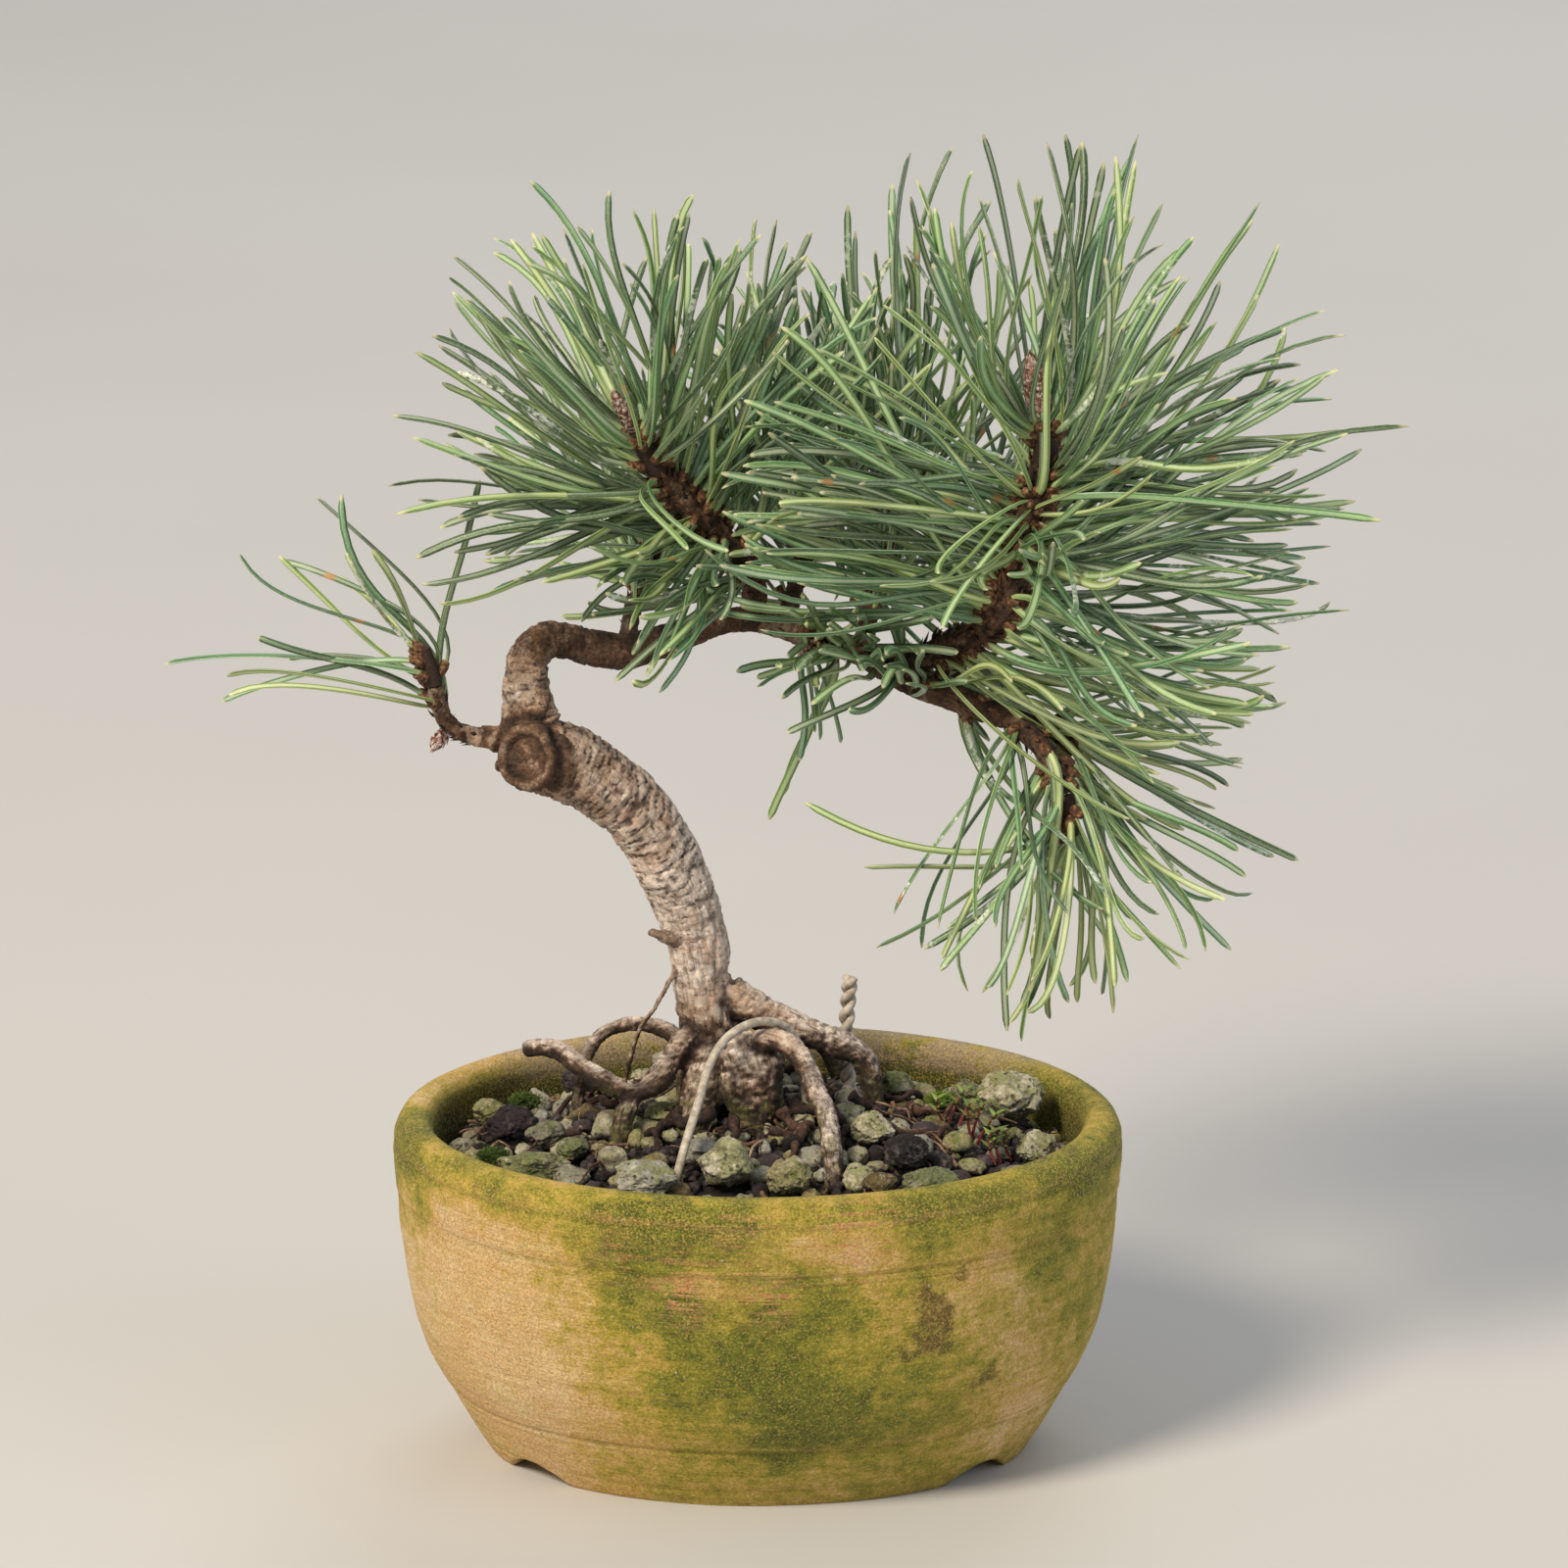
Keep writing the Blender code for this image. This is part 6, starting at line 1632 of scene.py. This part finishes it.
def makeLitter(dry, green):
    dice = random.Random(litter["seed"])
    batch = Batch()
    for _ in range(litter["count"]):
        turn, reach = dice.uniform(0, 2 * math.pi), math.sqrt(dice.uniform(0.04, 0.85))
        x, y = inBed(reach, turn)
        heading = dice.uniform(0, 2 * math.pi)
        length = dice.uniform(*litter["size"])
        points = []
        for k in range(5):
            share = (k - 2) / 4
            px = x + math.cos(heading) * share * length + dice.uniform(-0.6, 0.6)
            py = y + math.sin(heading) * share * length + dice.uniform(-0.6, 0.6)
            limit = max(1.0, reachOf(px, py, 2))
            px, py = px / limit, py / limit
            points.append((px, py, soilHeight(px, py) + dice.uniform(0.4, 2.0)))
        size = dice.uniform(*litter["radius"])
        path = smoothRoute(points, 0.9)
        taper = np.linspace(1.0, 0.4, len(path)) * size
        batch.add(*roundTube(path, taper, 7), lot=dice.random())
    batch.build("dryTwigsAndThinRoots", [dry])
    roots = Batch()
    for x, y, heading, length, radius in litter["creepingRoots"]:
        heading = math.radians(heading)
        points = []
        while len(points) * 2.2 < length:
            limit = max(1.0, reachOf(x, y, 3))
            x, y = x / limit, y / limit
            points.append((x, y, soilHeight(x, y) + radius * 0.4 + dice.uniform(0.0, 2.4)))
            heading += dice.gauss(0, 0.5)
            x, y = x + 2.2 * math.cos(heading), y + 2.2 * math.sin(heading)
        points[0] = (points[0][0], points[0][1], points[0][2] + 1.0)
        points[-1] = (points[-1][0], points[-1][1], points[-1][2] - 2.5)
        path = smoothRoute(points, 0.5)
        knots = np.array([noise.noise(Vector(point) * 0.5) for point in path])
        girth = radius * np.linspace(1.0, 0.45, len(path)) * (1 + 0.5 * knots)
        roots.add(*roundTube(path, girth, 12), lot=dice.uniform(0.0, 0.5))
    roots.build("creepingRoots", [dry])
    seedlings = Batch()
    for x, y, tall in litter["seedlings"]:
        for _ in range(3):
            lean = np.array((dice.uniform(-0.5, 0.5), dice.uniform(-0.5, 0.5), 1.0))
            foot = np.array((x + dice.uniform(-2, 2), y + dice.uniform(-2, 2), 0.0))
            foot[2] = soilHeight(foot[0], foot[1])
            stem = unit(lean) * tall
            path = smoothRoute([foot, foot + stem * 0.5, foot + stem * 0.8 + (0.8, 0, 0.6)], 0.6)
            girth = np.linspace(0.32, 0.18, len(path))
            seedlings.add(*roundTube(path, girth, 7), lot=dice.uniform(0.15, 0.3))
            for n in range(6):
                i = len(path) - 1 - n
                outward = unit((math.cos(n * 2.2), math.sin(n * 2.2), 0.3))
                shape, faces = scaleOf(path[max(i, 1)], outward, np.array((0, 0, 1.0)), 1.9, 1.1, 0.3, -0.4)
                seedlings.add(shape, faces, lot=dice.uniform(0.65, 0.95))
    seedlings.build("seedlings", [green])
    say("moss and litter done")


makeMoss(mossMaterial())
makeLitter(litterMaterial(), seedlingMaterial())


# the drainage meshes and clips keep the CAD shape

def plasticMaterial():
    material, net, out = newMaterial("dustyMesh", roughness=0.6)
    place = net.place()
    dust = net.use(patches, Vector=place, Size=2.0, Amount=0.4)["Mask"]
    skin = net.mix(dust * 0.6, "15160f", "6b5f4a")
    net.dress(out, skin, net.use(grain, Vector=place, Size=0.4)["Height"], 0.4, 0.0002)
    return material


def clipMaterial():
    material, net, out = newMaterial("clipWire", roughness=0.4, metallic=1.0)
    dull = net.use(patches, Vector=net.place(), Size=1.6, Amount=0.45)
    skin = net.mix(dull["Mask"], "b9b9b6", "7a7468")
    net.dress(out, skin, rough=net.span(dull["Fine"], 0.3, 0.7, 0.32, 0.6))
    return material


plastic, clip = plasticMaterial(), clipMaterial()
for word in ("left", "right"):
    for node, material in (("drainage_mesh_" + word, plastic), ("mesh_clip_" + word, clip)):
        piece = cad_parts[node]
        for holder in piece.material_slots:
            holder.material = material
        if not piece.material_slots:
            piece.data.materials.append(material)


# floor, light and camera

studio = {
    "floor": 8.0,
    "floorTint": "c4c2be", "floorShade": "a9a69f",
    "worldTint": "e6e9ee",
    "worldStrength": 0.47,
    "key": {"place": (-1.1, -1.3, 1.6), "size": 0.7, "power": 58.0, "tint": "fff1dc"},
    "fill": {"place": (1.8, -0.9, 0.9), "size": 1.6, "power": 11.0, "tint": "e4ecff"},
    "back": {"place": (0.4, 1.6, 1.4), "size": 1.4, "power": 12.0, "tint": "ffffff"},
    "aim": (0.0, 0.0, 0.11),
}
camera = {"distance": 1.383, "down": 15.68, "aim": (0.0045, 0.0, 0.1168), "lens": 188.05}


def makeStudio():
    scene = bpy.context.scene
    mesh = bpy.data.meshes.new("studioFloor")
    half = studio["floor"] / 2
    corners = [(-half, -half, 0), (half, -half, 0), (half, half, 0), (-half, half, 0)]
    mesh.from_pydata(corners, [], [(0, 1, 2, 3)])
    material, net, out = newMaterial("floorPaper", roughness=0.9)
    cloud = net.noise(net.take("Object", "ShaderNodeTexCoord"), 3.0)
    net.dress(out, net.mix(net.span(cloud, 0.3, 0.7, 0.0, 0.12), studio["floorTint"], studio["floorShade"]))
    mesh.materials.append(material)
    floor = bpy.data.objects.new("studioFloor", mesh)
    scene.collection.objects.link(floor)
    world = bpy.data.worlds.new("softRoom")
    world.use_nodes = True
    light = world.node_tree.nodes["Background"].inputs
    light["Color"].default_value = linear(studio["worldTint"])
    light["Strength"].default_value = studio["worldStrength"]
    scene.world = world
    for name in ("key", "fill", "back"):
        spec = studio[name]
        data = bpy.data.lights.new(name, "AREA")
        data.shape = "DISK"
        data.size = spec["size"]
        data.energy = spec["power"]
        data.color = linear(spec["tint"])[:3]
        lamp = bpy.data.objects.new(name, data)
        lamp.location = spec["place"]
        towards = Vector(studio["aim"]) - Vector(spec["place"])
        lamp.rotation_euler = towards.to_track_quat("-Z", "Y").to_euler()
        scene.collection.objects.link(lamp)
    scene.view_settings.view_transform = "Standard"
    say("studio ready")


def makeCamera():
    data = bpy.data.cameras.new("viewer")
    data.lens = camera["lens"]
    data.clip_end = 50
    viewer = bpy.data.objects.new("viewer", data)
    down = math.radians(camera["down"])
    back = Vector((0, -math.cos(down), math.sin(down))) * camera["distance"]
    viewer.location = Vector(camera["aim"]) + back
    viewer.rotation_euler = (math.radians(90) - down, 0, 0)
    bpy.context.scene.collection.objects.link(viewer)
    bpy.context.scene.camera = viewer


makeStudio()
makeCamera()

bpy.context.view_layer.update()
say("all placed")
